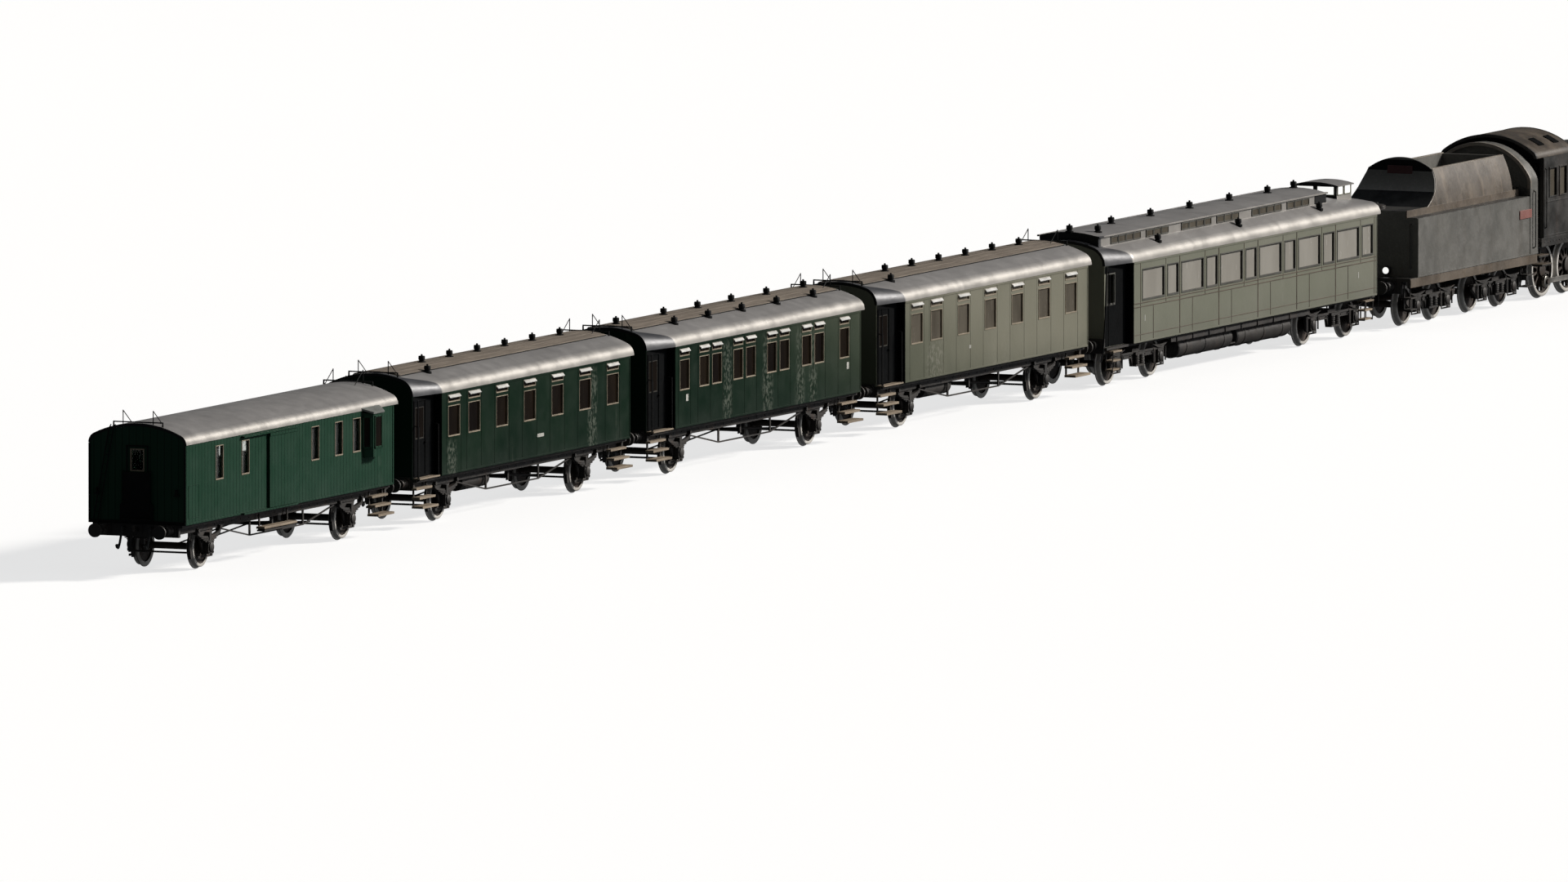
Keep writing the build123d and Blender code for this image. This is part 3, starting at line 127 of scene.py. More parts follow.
class Shape:
    """One piece, gathered in millimetres in the train's own frame."""

    def __init__(self):
        self.verts = []
        self.faces = []

    def add(self, verts, faces):
        first = len(self.verts)
        self.verts += [tuple(v) for v in verts]
        self.faces += [[first + i for i in face] for face in faces]

    def box(self, xs, ys, zs):
        corners = [(x, y, z) for x in sorted(xs) for y in sorted(ys) for z in sorted(zs)]
        self.add(corners,
                 [[0, 1, 3, 2], [4, 6, 7, 5], [0, 4, 5, 1], [2, 3, 7, 6], [0, 2, 6, 4], [1, 5, 7, 3]])

    def slab(self, upper, lower):
        """A plate between two faces of four points each."""
        self.add(upper + lower,
                 [[0, 1, 2, 3], [7, 6, 5, 4], [0, 4, 5, 1], [1, 5, 6, 2], [2, 6, 7, 3], [3, 7, 4, 0]])

    def prism(self, points, place, a, b):
        """A flat outline carried from a to b along the third direction."""
        n = len(points)
        self.add(
            [place(u, v, a) for u, v in points] + [place(u, v, b) for u, v in points],
            [list(range(n)), list(range(2 * n - 1, n - 1, -1))]
            + [[i, (i + 1) % n, n + (i + 1) % n, n + i] for i in range(n)],
        )

    def side(self, points, y0, y1):
        self.prism(points, lambda u, v, w: (u, w, v), y0, y1)

    def cross(self, points, x0, x1):
        self.prism(points, across_ends, x0, x1)

    def plan(self, points, z0, z1):
        self.prism(points, lambda u, v, w: (u, v, w), z0, z1)

    def ring(self, outer, inner, place, a, b):
        """A frame: the room between two outlines with the same number of points."""
        n = len(outer)
        verts = []
        for w in (a, b):
            for line in (outer, inner):
                verts += [place(u, v, w) for u, v in line]
        faces = []
        for i in range(n):
            j = (i + 1) % n
            faces.append([i, j, n + j, n + i])
            faces.append([2 * n + i, 2 * n + j, 3 * n + j, 3 * n + i])
            faces.append([i, j, 2 * n + j, 2 * n + i])
            faces.append([n + i, n + j, 3 * n + j, 3 * n + i])
        self.add(verts, faces)

    def frame(self, us, vs, a, b, bar, sill, place):
        """A rectangular frame from a to b along the third direction."""
        outer = [(us[0], vs[0]), (us[1], vs[0]), (us[1], vs[1]), (us[0], vs[1])]
        inner = [(us[0] + bar, vs[0] + sill), (us[1] - bar, vs[0] + sill),
                 (us[1] - bar, vs[1] - bar), (us[0] + bar, vs[1] - bar)]
        self.ring(outer, inner, place, a, b)

    def window(self, xs, zs, y0, y1, bar, sill=None):
        """A rectangular frame on a side wall."""
        self.frame(xs, zs, y0, y1, bar, bar if sill is None else sill, lambda u, v, w: (u, w, v))

    def end_window(self, ys, zs, x0, x1, bar):
        """A rectangular frame on an end wall."""
        self.frame(ys, zs, x0, x1, bar, bar, across_ends)

    def skin(self, verts, sides):
        """The skin over rings of points, closed at both ends."""
        faces = [list(range(sides)), list(range(len(verts) - sides, len(verts)))]
        for ring in range(0, len(verts) - sides, sides):
            for i in range(sides):
                a, b = ring + i, ring + (i + 1) % sides
                faces.append([a, b, b + sides, a + sides])
        self.add(verts, faces)

    def turned(self, profile, origin, axis, sides=20):
        """A turned shape from (radius, distance) points along an axis."""
        axis = Vector(axis).normalized()
        across = axis.orthogonal().normalized()
        other = axis.cross(across)
        origin = Vector(origin)
        verts = []
        for radius, distance in profile:
            for i in range(sides):
                a = 2 * math.pi * i / sides
                verts.append(origin + axis * distance + (across * math.cos(a) + other * math.sin(a)) * radius)
        self.skin(verts, sides)

    def tube(self, path, radius, sides=10):
        """A round bar that follows a line of points."""
        path = [Vector(p) for p in path]
        verts = []
        across = None
        for i, point in enumerate(path):
            before = (point - path[i - 1]).normalized() if i else (path[1] - point).normalized()
            after = (path[i + 1] - point).normalized() if i + 1 < len(path) else before
            along = (before + after).normalized()
            if across is None:
                across = along.orthogonal().normalized()
            across = (across - along * across.dot(along)).normalized()
            other = along.cross(across)
            for k in range(sides):
                a = 2 * math.pi * k / sides
                verts.append(point + (across * math.cos(a) + other * math.sin(a)) * radius)
        self.skin(verts, sides)

    def curve(self, path, radius, sides=10, steps=6):
        """A round bar through points, rounded between them."""
        points = [Vector(p) for p in path]
        points = [points[0] * 2 - points[1]] + points + [points[-1] * 2 - points[-2]]
        line = []
        for i in range(1, len(points) - 2):
            p0, p1, p2, p3 = points[i - 1 : i + 3]
            for step in range(steps):
                t = step / steps
                line.append(0.5 * (2 * p1 + (p2 - p0) * t + (2 * p0 - 5 * p1 + 4 * p2 - p3) * t * t
                                   + (3 * p1 - p0 - 3 * p2 + p3) * t**3))
        line.append(points[-2])
        self.tube(line, radius, sides)

    def coil(self, centre, radius, wire, height, turns):
        """An upright coil spring."""
        steps = int(turns * 12)
        path = []
        for i in range(steps + 1):
            a = 2 * math.pi * i / 12
            path.append((centre[0] + radius * math.cos(a), centre[1] + radius * math.sin(a),
                         centre[2] + height * i / steps))
        self.tube(path, wire, 6)

    def half_turn(self, centre_x):
        """Everything so far, again, turned half way round the vehicle's middle."""
        self.add([(2 * centre_x - x, -y, z) for x, y, z in self.verts], list(self.faces))

    def mirrored(self):
        """Everything so far, again, on the other side."""
        self.add([(x, -y, z) for x, y, z in self.verts], list(self.faces))

    def make(self, name, body, material, slot, bevel=0.06, sharp=38):
        mesh = bpy.data.meshes.new(name)
        mesh.from_pydata([(x * MM, y * MM, z * MM) for x, y, z in self.verts], [], self.faces)
        bm = bmesh.new()
        bm.from_mesh(mesh)
        bmesh.ops.recalc_face_normals(bm, faces=bm.faces)
        for face in bm.faces:
            face.smooth = True
        for edge in bm.edges:
            if len(edge.link_faces) != 2 or edge.calc_face_angle(0) > math.radians(sharp):
                edge.smooth = False
        bm.to_mesh(mesh)
        bm.free()
        mesh.materials.append(material)
        obj = bpy.data.objects.new(name, mesh)
        bpy.context.scene.collection.objects.link(obj)
        if bevel:
            rounding = obj.modifiers.new("edges", "BEVEL")
            rounding.width = bevel * MM
            rounding.segments = 2
            rounding.limit_method = "ANGLE"
            rounding.angle_limit = math.radians(sharp)
            rounding.use_clamp_overlap = True
            rounding.harden_normals = True
        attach(obj, body)
        return obj


# ---------------------------------------------------------------- materials
class Surface:
    """A node material whose patterns are laid out in millimetres of the train's frame."""

    def __init__(self, name):
        self.material = bpy.data.materials.new(name)
        self.material.use_nodes = True
        self.tree = self.material.node_tree
        self.tree.nodes.clear()
        out = self.node("ShaderNodeOutputMaterial")
        self.shader = self.node("ShaderNodeBsdfPrincipled")
        self.join(self.shader.outputs[0], out.inputs[0])
        self.place = self.node("ShaderNodeTexCoord").outputs["Object"]

    def node(self, kind):
        return self.tree.nodes.new(kind)

    def join(self, a, b):
        self.tree.links.new(a, b)

    def set(self, socket, value):
        if isinstance(value, bpy.types.NodeSocket):
            self.join(value, socket)
        elif isinstance(value, (tuple, list)):
            socket.default_value = (*value, 1.0) if len(socket.default_value) == 4 else value
        else:
            socket.default_value = value

    def scaled(self, size, stretch=(1, 1, 1), shift=0.0):
        """The place in cells of a size in millimetres, with the axes stretched."""
        mapping = self.node("ShaderNodeMapping")
        mapping.inputs["Scale"].default_value = [1000 / size / s for s in stretch]
        mapping.inputs["Location"].default_value = (shift, shift * 0.7, shift * 1.3)
        self.join(self.place, mapping.inputs["Vector"])
        return mapping.outputs[0]

    def noise(self, size, stretch=(1, 1, 1), detail=4.0, roughness=0.6, shift=0.0):
        tex = self.node("ShaderNodeTexNoise")
        tex.inputs["Scale"].default_value = 1.0
        tex.inputs["Detail"].default_value = detail
        tex.inputs["Roughness"].default_value = roughness
        self.join(self.scaled(size, stretch, shift), tex.inputs["Vector"])
        return tex.outputs[0]

    def math(self, kind, a, b=0.0, c=0.0):
        node = self.node("ShaderNodeMath")
        node.operation = kind
        self.set(node.inputs[0], a)
        self.set(node.inputs[1], b)
        self.set(node.inputs[2], c)
        return node.outputs[0]

    def spread(self, value, low, high, to_low=0.0, to_high=1.0):
        """A smooth step of a value from one range to another."""
        node = self.node("ShaderNodeMapRange")
        node.interpolation_type = "SMOOTHSTEP"
        self.set(node.inputs["Value"], value)
        for key, number in (("From Min", low), ("From Max", high), ("To Min", to_low), ("To Max", to_high)):
            node.inputs[key].default_value = number
        return node.outputs[0]

    def blend(self, share, a, b):
        node = self.node("ShaderNodeMix")
        node.data_type = "RGBA"
        self.set(node.inputs["Factor"], share)
        self.set(node.inputs[6], a)
        self.set(node.inputs[7], b)
        return node.outputs[2]

    def axis(self, name):
        split = self.node("ShaderNodeSeparateXYZ")
        self.join(self.place, split.inputs[0])
        return self.math("MULTIPLY", split.outputs[name], 1000.0)

    def facing(self, name):
        split = self.node("ShaderNodeSeparateXYZ")
        self.join(self.node("ShaderNodeTexCoord").outputs["Normal"], split.inputs[0])
        return split.outputs[name]

    def bump(self, height, depth, strength=0.6):
        node = self.node("ShaderNodeBump")
        node.inputs["Strength"].default_value = strength
        node.inputs["Distance"].default_value = depth * MM
        self.set(node.inputs["Height"], height)
        self.join(node.outputs[0], self.shader.inputs["Normal"])

    def finish(self, colour, rough, **uniform):
        self.set(self.shader.inputs["Base Color"], colour)
        self.set(self.shader.inputs["Roughness"], rough)
        for key, value in uniform.items():
            self.shader.inputs[key.replace("_", " ")].default_value = value
        return self.material


def grooves(s, pitch):
    """1 on a board and 0 in the groove between boards, along the vehicle or across its end."""
    place = s.math("DIVIDE", s.math("ADD", s.axis("X"), s.axis("Y")), pitch)
    inside = s.math("ABSOLUTE", s.math("SUBTRACT", s.math("FRACT", place), 0.5))
    return s.spread(inside, 0.4, 0.5, 1.0, 0.0), s.math("FLOOR", place)


def chalk_bands(s, bands):
    """Speckled upright streaks of chalk, each (x, half width, highest z)."""
    total = None
    for x, half, top in bands:
        near = s.spread(s.math("ABSOLUTE", s.math("SUBTRACT", s.axis("X"), x)), half * 0.3, half, 1.0, 0.0)
        band = s.math("MULTIPLY", near, s.spread(s.axis("Z"), top - 4.0, top, 1.0, 0.0))
        total = band if total is None else s.math("MAXIMUM", total, band)
    return s.math("MULTIPLY", total, s.spread(s.noise(0.9, (1, 1, 1.4), 3.0, 0.6, 5.0), 0.47, 0.58))


def coach_paint(name, base, worn, chalk, amount, pitch=0.0, sheen_fade=None, bands=()):
    """Vehicle side paint: blotchy, chalky runs down the sides, dust towards the bottom, and an optional
    painted reflection that fades in along the side.
    """
    s = Surface(name)
    colour = s.blend(s.spread(s.noise(38), 0.35, 0.7), base, worn)
    fine = s.noise(1.1, (1, 1, 2.4), 6.0, 0.7, 5.0)
    runs = s.noise(5.0, (1, 1, 9.0), 5.0, 0.65, 2.0)
    patch = s.noise(24.0, (1, 1, 2.2), 3.0, 0.55, 9.0)
    mask = s.math("MULTIPLY", s.spread(runs, 0.52, 0.72), s.spread(patch, 0.5, 0.66))
    mask = s.math("MULTIPLY", mask, s.spread(fine, 0.38, 0.62))
    mask = s.math("MULTIPLY", mask, amount)
    if bands:
        mask = s.math("MAXIMUM", mask, s.math("MULTIPLY", chalk_bands(s, bands), 0.4))
    colour = s.blend(mask, colour, chalk)
    height = s.math("MULTIPLY", s.noise(2.0, detail=3.0), 0.25)
    # Painted reflection: a slanted fade to a paler colour along the side, standing for the sheen of the
    # surroundings on glossy paint.
    if sheen_fade:
        slanted = s.math("ADD", s.axis("X"), s.math("MULTIPLY", s.math("SUBTRACT", s.axis("Z"), 26.0), 2.5))
        share = s.spread(slanted, sheen_fade[0], sheen_fade[1], 0.0, 1.0)
        share = s.math("MULTIPLY", share,
                       s.spread(s.noise(14.0, (1, 1, 4.0), shift=3.0), 0.1, 0.7, 0.72, 1.0))
        colour = s.blend(share, colour, sheen_fade[2])
    dust = s.spread(s.math("ADD", s.axis("Z"), s.math("MULTIPLY", s.noise(9.0), 6.0)), 15.0, 24.0, 0.35, 0.0)
    colour = s.blend(dust, colour, [c * 0.6 + 0.02 for c in worn])
    if pitch:
        board, number = grooves(s, pitch)
        tone = s.math("FRACT", s.math("MULTIPLY", s.math("SINE", s.math("MULTIPLY", number, 12.9)), 43.7))
        colour = s.blend(s.math("MULTIPLY", tone, 0.35), colour, worn)
        colour = s.blend(s.spread(board, 0.0, 1.0, 0.45, 0.0), colour, [c * 0.25 for c in base])
        height = s.math("ADD", height, s.math("MULTIPLY", board, 1.4))
    s.bump(height, 0.18, 0.7)
    uneven = s.math("ADD", s.noise(6.0, shift=4.0), s.math("MULTIPLY", mask, 0.3))
    gloss = s.spread(uneven, 0.2, 0.9, 0.34, 0.66)
    return s.finish(colour, gloss, Specular_IOR_Level=0.1)


def metal_paint(name, base, worn, rust=(0.06, 0.028, 0.014), rust_amount=0.35, rough=0.5, run=1.0, size=14.0,
                metallic=0.0, bump=0.12, glow=0.0, level=0.5):
    """Dark painted metal with dusty wear, brown runs and fine grain."""
    s = Surface(name)
    colour = s.blend(s.spread(s.noise(size), 0.36, 0.68), base, worn)
    rusty = s.math("MULTIPLY", s.spread(s.noise(4.2, (1, 1, 1 + 5 * run), 6.0, 0.68, 3.0), 0.5, 0.74),
                   rust_amount)
    colour = s.blend(rusty, colour, rust)
    grain = s.noise(0.8, detail=5.0, shift=7.0)
    colour = s.blend(s.spread(grain, 0.45, 0.75, 0.0, 0.22), colour, [min(c * 1.9 + 0.01, 1) for c in worn])
    s.bump(s.math("ADD", s.math("MULTIPLY", grain, 0.6), s.noise(3.0)), bump, 0.6)
    gloss = s.spread(s.noise(5.0, shift=1.0), 0.25, 0.8, rough - 0.1, rough + 0.2)
    if glow:
        s.shader.inputs["Emission Color"].default_value = (1.0, 1.0, 0.98, 1.0)
        s.shader.inputs["Emission Strength"].default_value = glow
    return s.finish(colour, gloss, Metallic=metallic, Specular_IOR_Level=level)


def recess_shade(s):
    """Dark corners where a coach roof narrows over its door recess: near rear and far front."""
    across = s.axis("Y")
    depth = s.spread(s.math("ABSOLUTE", across), 7.0, 15.3, 2.0, 15.1)
    total = None
    for start, length in [(x, COACH_LENGTH) for x in COACHES] + [(SALOON, SALOON_LENGTH)]:
        along = s.math("SUBTRACT", s.axis("X"), start + length / 2)
        corner = s.math("GREATER_THAN", s.math("MULTIPLY", along, across), 0.0)
        from_end = s.math("SUBTRACT", length / 2, s.math("ABSOLUTE", along))
        here = s.math("GREATER_THAN", from_end, -3.0)
        dark = s.spread(s.math("SUBTRACT", depth, from_end), -0.5, 0.5)
        dark = s.math("MULTIPLY", s.math("MULTIPLY", corner, here), dark)
        total = dark if total is None else s.math("MAXIMUM", total, dark)
    return total


def roof_paint(name, base, underside_and_rear_shade):
    """Aluminium paint on the roofs: cloudy, with runs across and specks near the shoulders; a painted
    highlight on the shoulders, and painted shade over the door recesses, on the undersides and on the
    rearward faces.
    """
    s = Surface(name)
    colour = s.blend(s.spread(s.noise(30.0, (1.6, 1, 1)), 0.3, 0.72), base, [c * 0.86 for c in base])
    runs = s.spread(s.noise(7.0, (1, 7, 7), 5.0, 0.62, 2.0), 0.52, 0.74)
    colour = s.blend(s.math("MULTIPLY", runs, 0.3), colour, [c * 0.66 for c in base])
    specks = s.spread(s.noise(1.5, (1.2, 1, 1), 4.0, 0.75, 6.0), 0.63, 0.72)
    low = s.spread(s.axis("Z"), 43.5, 39.0, 0.15, 0.8)
    colour = s.blend(s.math("MULTIPLY", specks, low), colour, [c * 0.55 for c in base])
    # Painted highlight: faces that lean sideways are lightened towards a pale grey.
    shoulder_highlight = s.spread(s.math("ABSOLUTE", s.facing("Y")), 0.35, 0.95)
    colour = s.blend(s.math("MULTIPLY", shoulder_highlight, 0.55), colour, (0.5, 0.475, 0.43))
    # Painted shade over the corners where the roof narrows above the door recesses.
    colour = s.blend(s.math("MULTIPLY", recess_shade(s), 0.88), colour, (0.03, 0.034, 0.044))
    # Painted shade: faces turned downwards and faces turned rearwards go near black.
    under = s.spread(s.facing("Z"), -0.15, 0.05, 1.0, 0.0)
    rear = s.spread(s.facing("X"), -0.85, -0.6, 1.0, 0.0)
    colour = s.blend(s.math("MAXIMUM", under, rear), colour, underside_and_rear_shade)
    s.bump(s.math("ADD", s.math("MULTIPLY", s.noise(0.9, shift=3.0), 0.4), s.noise(9.0)), 0.12, 0.5)
    gloss = s.spread(s.math("ADD", s.noise(5.0, shift=8.0), s.math("MULTIPLY", specks, 0.3)), 0.2, 1.0, 0.33,
                     0.6)
    return s.finish(colour, gloss, Metallic=0.4)


def timber(name, base, dark):
    """Bare weathered boards with grain along the train."""
    s = Surface(name)
    grain = s.noise(0.9, (14, 1, 1), 5.0, 0.65)
    colour = s.blend(s.spread(grain, 0.35, 0.7), dark, base)
    colour = s.blend(s.spread(s.noise(16.0, shift=4.0), 0.4, 0.7, 0.0, 0.45), colour, [c * 0.6 for c in base])
    s.bump(grain, 0.12, 0.7)
    return s.finish(colour, s.spread(s.noise(3.0), 0.2, 0.8, 0.62, 0.9))


def pane(name, base, light, level):
    """A pane of one blotchy tone with smears: dark for a dim interior, pale or taupe for a painted reflection
    on the glass.
    """
    s = Surface(name)
    colour = s.blend(s.spread(s.noise(11.0, (1, 1, 2.5)), 0.3, 0.75), base, light)
    smear = s.noise(2.2, (1, 1, 5.0), 5.0, 0.6, 3.0)
    s.bump(s.noise(26.0), 0.2, 0.25)
    return s.finish(colour, s.spread(smear, 0.3, 0.8, 0.12, 0.32), Specular_IOR_Level=level)


def clear_pane(name):
    """Thin clear styrene with faint smears."""
    s = Surface(name)
    smear = s.noise(2.4, (1, 1, 4.0), 5.0, 0.6, 3.0)
    s.bump(s.noise(20.0), 0.15, 0.2)
    colour = s.blend(s.spread(smear, 0.3, 0.8), (0.93, 0.95, 0.93), (0.84, 0.86, 0.82))
    return s.finish(colour, s.spread(smear, 0.3, 0.8, 0.03, 0.16), Transmission_Weight=0.95, IOR=1.1)


VAN_GREEN = coach_paint("van green", (0.012, 0.044, 0.025), (0.018, 0.053, 0.033), (0.2, 0.24, 0.2), 0.3,
                        pitch=2.2)
# Coaches 1 and 2: dark green; the paler fade towards coach 2's front end is painted reflection.
COACH_GREEN = coach_paint("coach green", (0.003, 0.014, 0.007), (0.006, 0.02, 0.01), (0.2, 0.22, 0.18), 0.4,
                          sheen_fade=(-140.0, 10.0, (0.07, 0.083, 0.058)),
                          bands=((-350.4, 4.5, 25.0), (-250.5, 4.5, 38.0), (-153.7, 4.5, 38.0),
                                 (-124.7, 5.0, 38.0),
                                 (-101.0, 4.0, 38.0), (-92.0, 4.0, 38.0)))
# Coach 3: the same green as coaches 1 and 2, painted paler as a painted reflection, with a painted sheen fade
# along its side as well.
SHEEN_GREY_GREEN = coach_paint("grey green", (0.085, 0.093, 0.066), (0.115, 0.12, 0.088), (0.3, 0.29, 0.25), 0.5,
                         sheen_fade=(-60.0, 60.0, (0.21, 0.205, 0.16)),
                         bands=((-2.5, 9.0, 26.0), (41.0, 3.5, 24.0), (48.2, 4.5, 38.0)))
# Bogie coach: green painted pale grey as a painted reflection of bright surroundings on glossy paint.
SHEEN_PALE_GREEN = coach_paint("pale grey green", (0.178, 0.184, 0.144), (0.205, 0.207, 0.168),
                           (0.32, 0.31, 0.27), 0.35)
# Roof aluminium; its last colour is the near black of the painted shade on undersides and rear faces.
ROOF = roof_paint("roof aluminium", (0.34, 0.33, 0.325), (0.004, 0.005, 0.006))
BLACK = metal_paint("underframe black", (0.011, 0.01, 0.0095), (0.026, 0.022, 0.019), rust_amount=0.45,
                    rough=0.6)
ENGINE = metal_paint("engine black", (0.016, 0.016, 0.015), (0.034, 0.032, 0.029), rust_amount=0.25,
                     rough=0.42)
TANK = metal_paint("tender tank", (0.115, 0.113, 0.104), (0.14, 0.136, 0.124), (0.085, 0.075, 0.062), 0.5,
                   0.42, 1.6)
DARK = metal_paint("end wall black", (0.003, 0.0035, 0.004), (0.007, 0.0075, 0.008), (0.012, 0.009, 0.007),
                   0.2, 0.6, level=0.15)
# Near black standing for painted shade in the door recesses and on the recessed doors; the cab roof hatches
# use it too.
RECESS_SHADE_BLACK = metal_paint("recess black", (0.0025, 0.003, 0.0035), (0.004, 0.0045, 0.005), (0.006, 0.005, 0.004),
                   0.2, 0.7, level=0.03)
# Recess window frames: the beige frame colour darkened as painted shade.
RECESS_FRAME_SHADE = metal_paint("recess frame", (0.03, 0.028, 0.022), (0.022, 0.02, 0.016), (0.016, 0.012, 0.009),
                        0.3, 0.6, level=0.2)
WHEEL = metal_paint("wheel brown", (0.02, 0.015, 0.012), (0.045, 0.033, 0.025), (0.09, 0.04, 0.02), 0.5,
                    0.55, 0.0)
TYRE = metal_paint("tyre steel", (0.6, 0.58, 0.54), (0.45, 0.43, 0.4), (0.2, 0.15, 0.11), 0.35, 0.45, 0.0,
                   bump=0.05)
ROD = metal_paint("rod steel", (0.34, 0.33, 0.31), (0.22, 0.21, 0.19), (0.1, 0.06, 0.03), 0.3, 0.35, 0.0,
                  metallic=0.8, bump=0.05)
BEIGE = metal_paint("window frame beige", (0.3, 0.25, 0.18), (0.2, 0.17, 0.12), (0.08, 0.05, 0.03), 0.4, 0.5,
                    1.0, 6.0)
HOOD = metal_paint("ventilator aluminium", (0.68, 0.68, 0.66), (0.5, 0.5, 0.48), (0.2, 0.17, 0.13), 0.2,
                   0.35, 0.0,
                   metallic=0.2)
RAIL_BROWN = metal_paint("waist rail brown", (0.11, 0.082, 0.055), (0.07, 0.052, 0.036),
                         (0.04, 0.026, 0.016), 0.4)
PLATE_RED = metal_paint("plate red", (0.075, 0.016, 0.016), (0.055, 0.013, 0.013), (0.05, 0.02, 0.014), 0.3,
                        0.45)
PLATE_PINK = metal_paint("plate faded red", (0.25, 0.1, 0.085), (0.2, 0.085, 0.072), (0.2, 0.08, 0.05), 0.3,
                         0.45)
MARK = metal_paint("mark white", (0.5, 0.5, 0.46), (0.36, 0.36, 0.33), (0.2, 0.18, 0.14), 0.3, 0.5)
BUNKER = metal_paint("bunker brown", (0.06, 0.048, 0.036), (0.11, 0.088, 0.066), (0.24, 0.19, 0.14), 0.55,
                     0.5, 2.0, 9.0)
LEDGE = metal_paint("ledge brown", (0.075, 0.058, 0.042), (0.12, 0.095, 0.07), (0.2, 0.15, 0.1), 0.3, 0.5)
RUBBER = metal_paint("hose rubber", (0.012, 0.012, 0.012), (0.022, 0.021, 0.02), (0.03, 0.02, 0.014), 0.3,
                     0.6, 0.0)
# Glowing glass for the lamp lenses; on the cupola panes the glow is painted light standing for the bright
# backdrop seen through them.
GLOW_GLASS = metal_paint("lamp glass", (0.85, 0.84, 0.8), (0.75, 0.74, 0.7), (0.5, 0.45, 0.38), 0.15, 0.2, 0.0,
                   glow=0.9)
FRAME_DARK = metal_paint("window frame grey", (0.05, 0.05, 0.042), (0.08, 0.078, 0.066),
                         (0.05, 0.035, 0.022), 0.4, 0.5)
GREY_TRIM = metal_paint("bay roof grey", (0.16, 0.17, 0.16), (0.11, 0.12, 0.11), (0.06, 0.05, 0.04), 0.3, 0.5)
LEDGE_PALE = metal_paint("worn light edge", (0.2, 0.17, 0.14), (0.3, 0.27, 0.23), (0.12, 0.08, 0.05), 0.35,
                         0.45, 1.0, 7.0)
CAB_ROOF = metal_paint("cab roof brown", (0.03, 0.023, 0.017), (0.075, 0.058, 0.042), (0.16, 0.12, 0.08),
                       0.4, 0.5, 0.4, 9.0)
BOARD = timber("step boards", (0.36, 0.29, 0.21), (0.18, 0.14, 0.1))
WALK = timber("roof boards", (0.23, 0.19, 0.15), (0.13, 0.104, 0.08))
PANE_DARK = pane("pane dark", (0.005, 0.003, 0.002), (0.014, 0.009, 0.005), level=0.15)
# Taupe and pale panes: their light tone is a painted reflection of bright surroundings on the glass.
PANE_TAUPE_REFLECTION = pane("pane taupe", (0.075, 0.065, 0.05), (0.13, 0.115, 0.09), level=0.4)
PANE_PALE_REFLECTION = pane("pane pale", (0.28, 0.265, 0.235), (0.34, 0.325, 0.29), level=0.3)
PANE_CLEAR = clear_pane("pane clear")

NODE_SURFACES = {
    "van_body": VAN_GREEN, "van_sliding_door": VAN_GREEN, "van_glazing": PANE_CLEAR,
    "coach_1_body": COACH_GREEN, "coach_2_body": COACH_GREEN, "coach_3_body": SHEEN_GREY_GREEN,
    "coach_1_glazing": PANE_DARK, "coach_2_glazing": PANE_DARK, "coach_3_glazing": PANE_TAUPE_REFLECTION,
    "saloon_body": SHEEN_PALE_GREEN, "saloon_glazing": PANE_PALE_REFLECTION,
    "tender_tank": TANK, "tender_underframe": ENGINE,
    "loco_frame": ENGINE, "loco_boiler": ENGINE, "loco_cab": ENGINE, "loco_near_coupling_rod": ROD,
    "loco_far_coupling_rod": ROD,
}
for node_name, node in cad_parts.items():
    surface = NODE_SURFACES.get(node_name)
    if surface is None and node_name.endswith("_roof"):
        surface = ROOF
    if surface is None and ("wheelset" in node_name or "driver" in node_name):
        surface = WHEEL
    node.data.materials.clear()
    node.data.materials.append(surface or BLACK)


# ---------------------------------------------------------------- fittings shared by the vehicles
def roof_bar(shape, x, inward, arch):
    """End bar of a roof walkway with its two wire brackets."""
    z = arch[2] + 0.25
    reach = 7.65
    foot = arch_z(arch, reach) - 0.3
    shape.tube([(x, -reach, foot), (x, -reach, z), (x, reach, z), (x, reach, foot)], 0.28)
    for y in (-4.7, 4.7):
        shape.tube([(x, y, z - 0.6), (x, y, z + 3.4)], 0.15, 8)
        shape.tube([(x, y, z + 3.3), (x + inward * 6.2, y, arch_z(arch, y) - 0.2)], 0.13, 8)


def roof_vent(shape, x, y, z):
    """A round ventilator with a plinth and a knob."""
    profile = [(1.25, -0.4), (1.25, 0.28), (0.8, 0.34), (0.8, 0.75), (0.98, 0.85), (0.98, 1.75), (0.86, 1.92),
               (0.3, 1.98), (0.3, 2.3), (0.18, 2.42)]
    shape.turned(profile, (x, y, z), (0, 0, 1), 18)


def buffer_trim(shape, x, outward):
    """Foot plates, bolts, collars and domed faces of the two buffers on a headstock."""
    for y in (-10.05, 10.05):
        shape.box((x, x + outward * 0.35), (y - 1.9, y + 1.9), (BUFFER_Z - 1.9, BUFFER_Z + 1.9))
        for dy in (-1.4, 1.4):
            for dz in (-1.4, 1.4):
                shape.turned([(0.24, 0), (0.24, 0.62), (0.14, 0.7)], (x, y + dy, BUFFER_Z + dz),
                             (outward, 0, 0), 6)
        shape.turned([(1.55, 0.3), (1.35, 1.0), (1.35, 1.3), (1.26, 1.4)], (x, y, BUFFER_Z), (outward, 0, 0),
                     20)
        shape.turned([(1.34, 3.0), (1.34, 3.45), (1.1, 3.5)], (x, y, BUFFER_Z), (outward, 0, 0), 20)
        shape.turned([(0.9, 6.6), (2.02, 6.9), (2.02, 7.3), (1.7, 7.46)], (x, y, BUFFER_Z), (outward, 0, 0),
                     24)


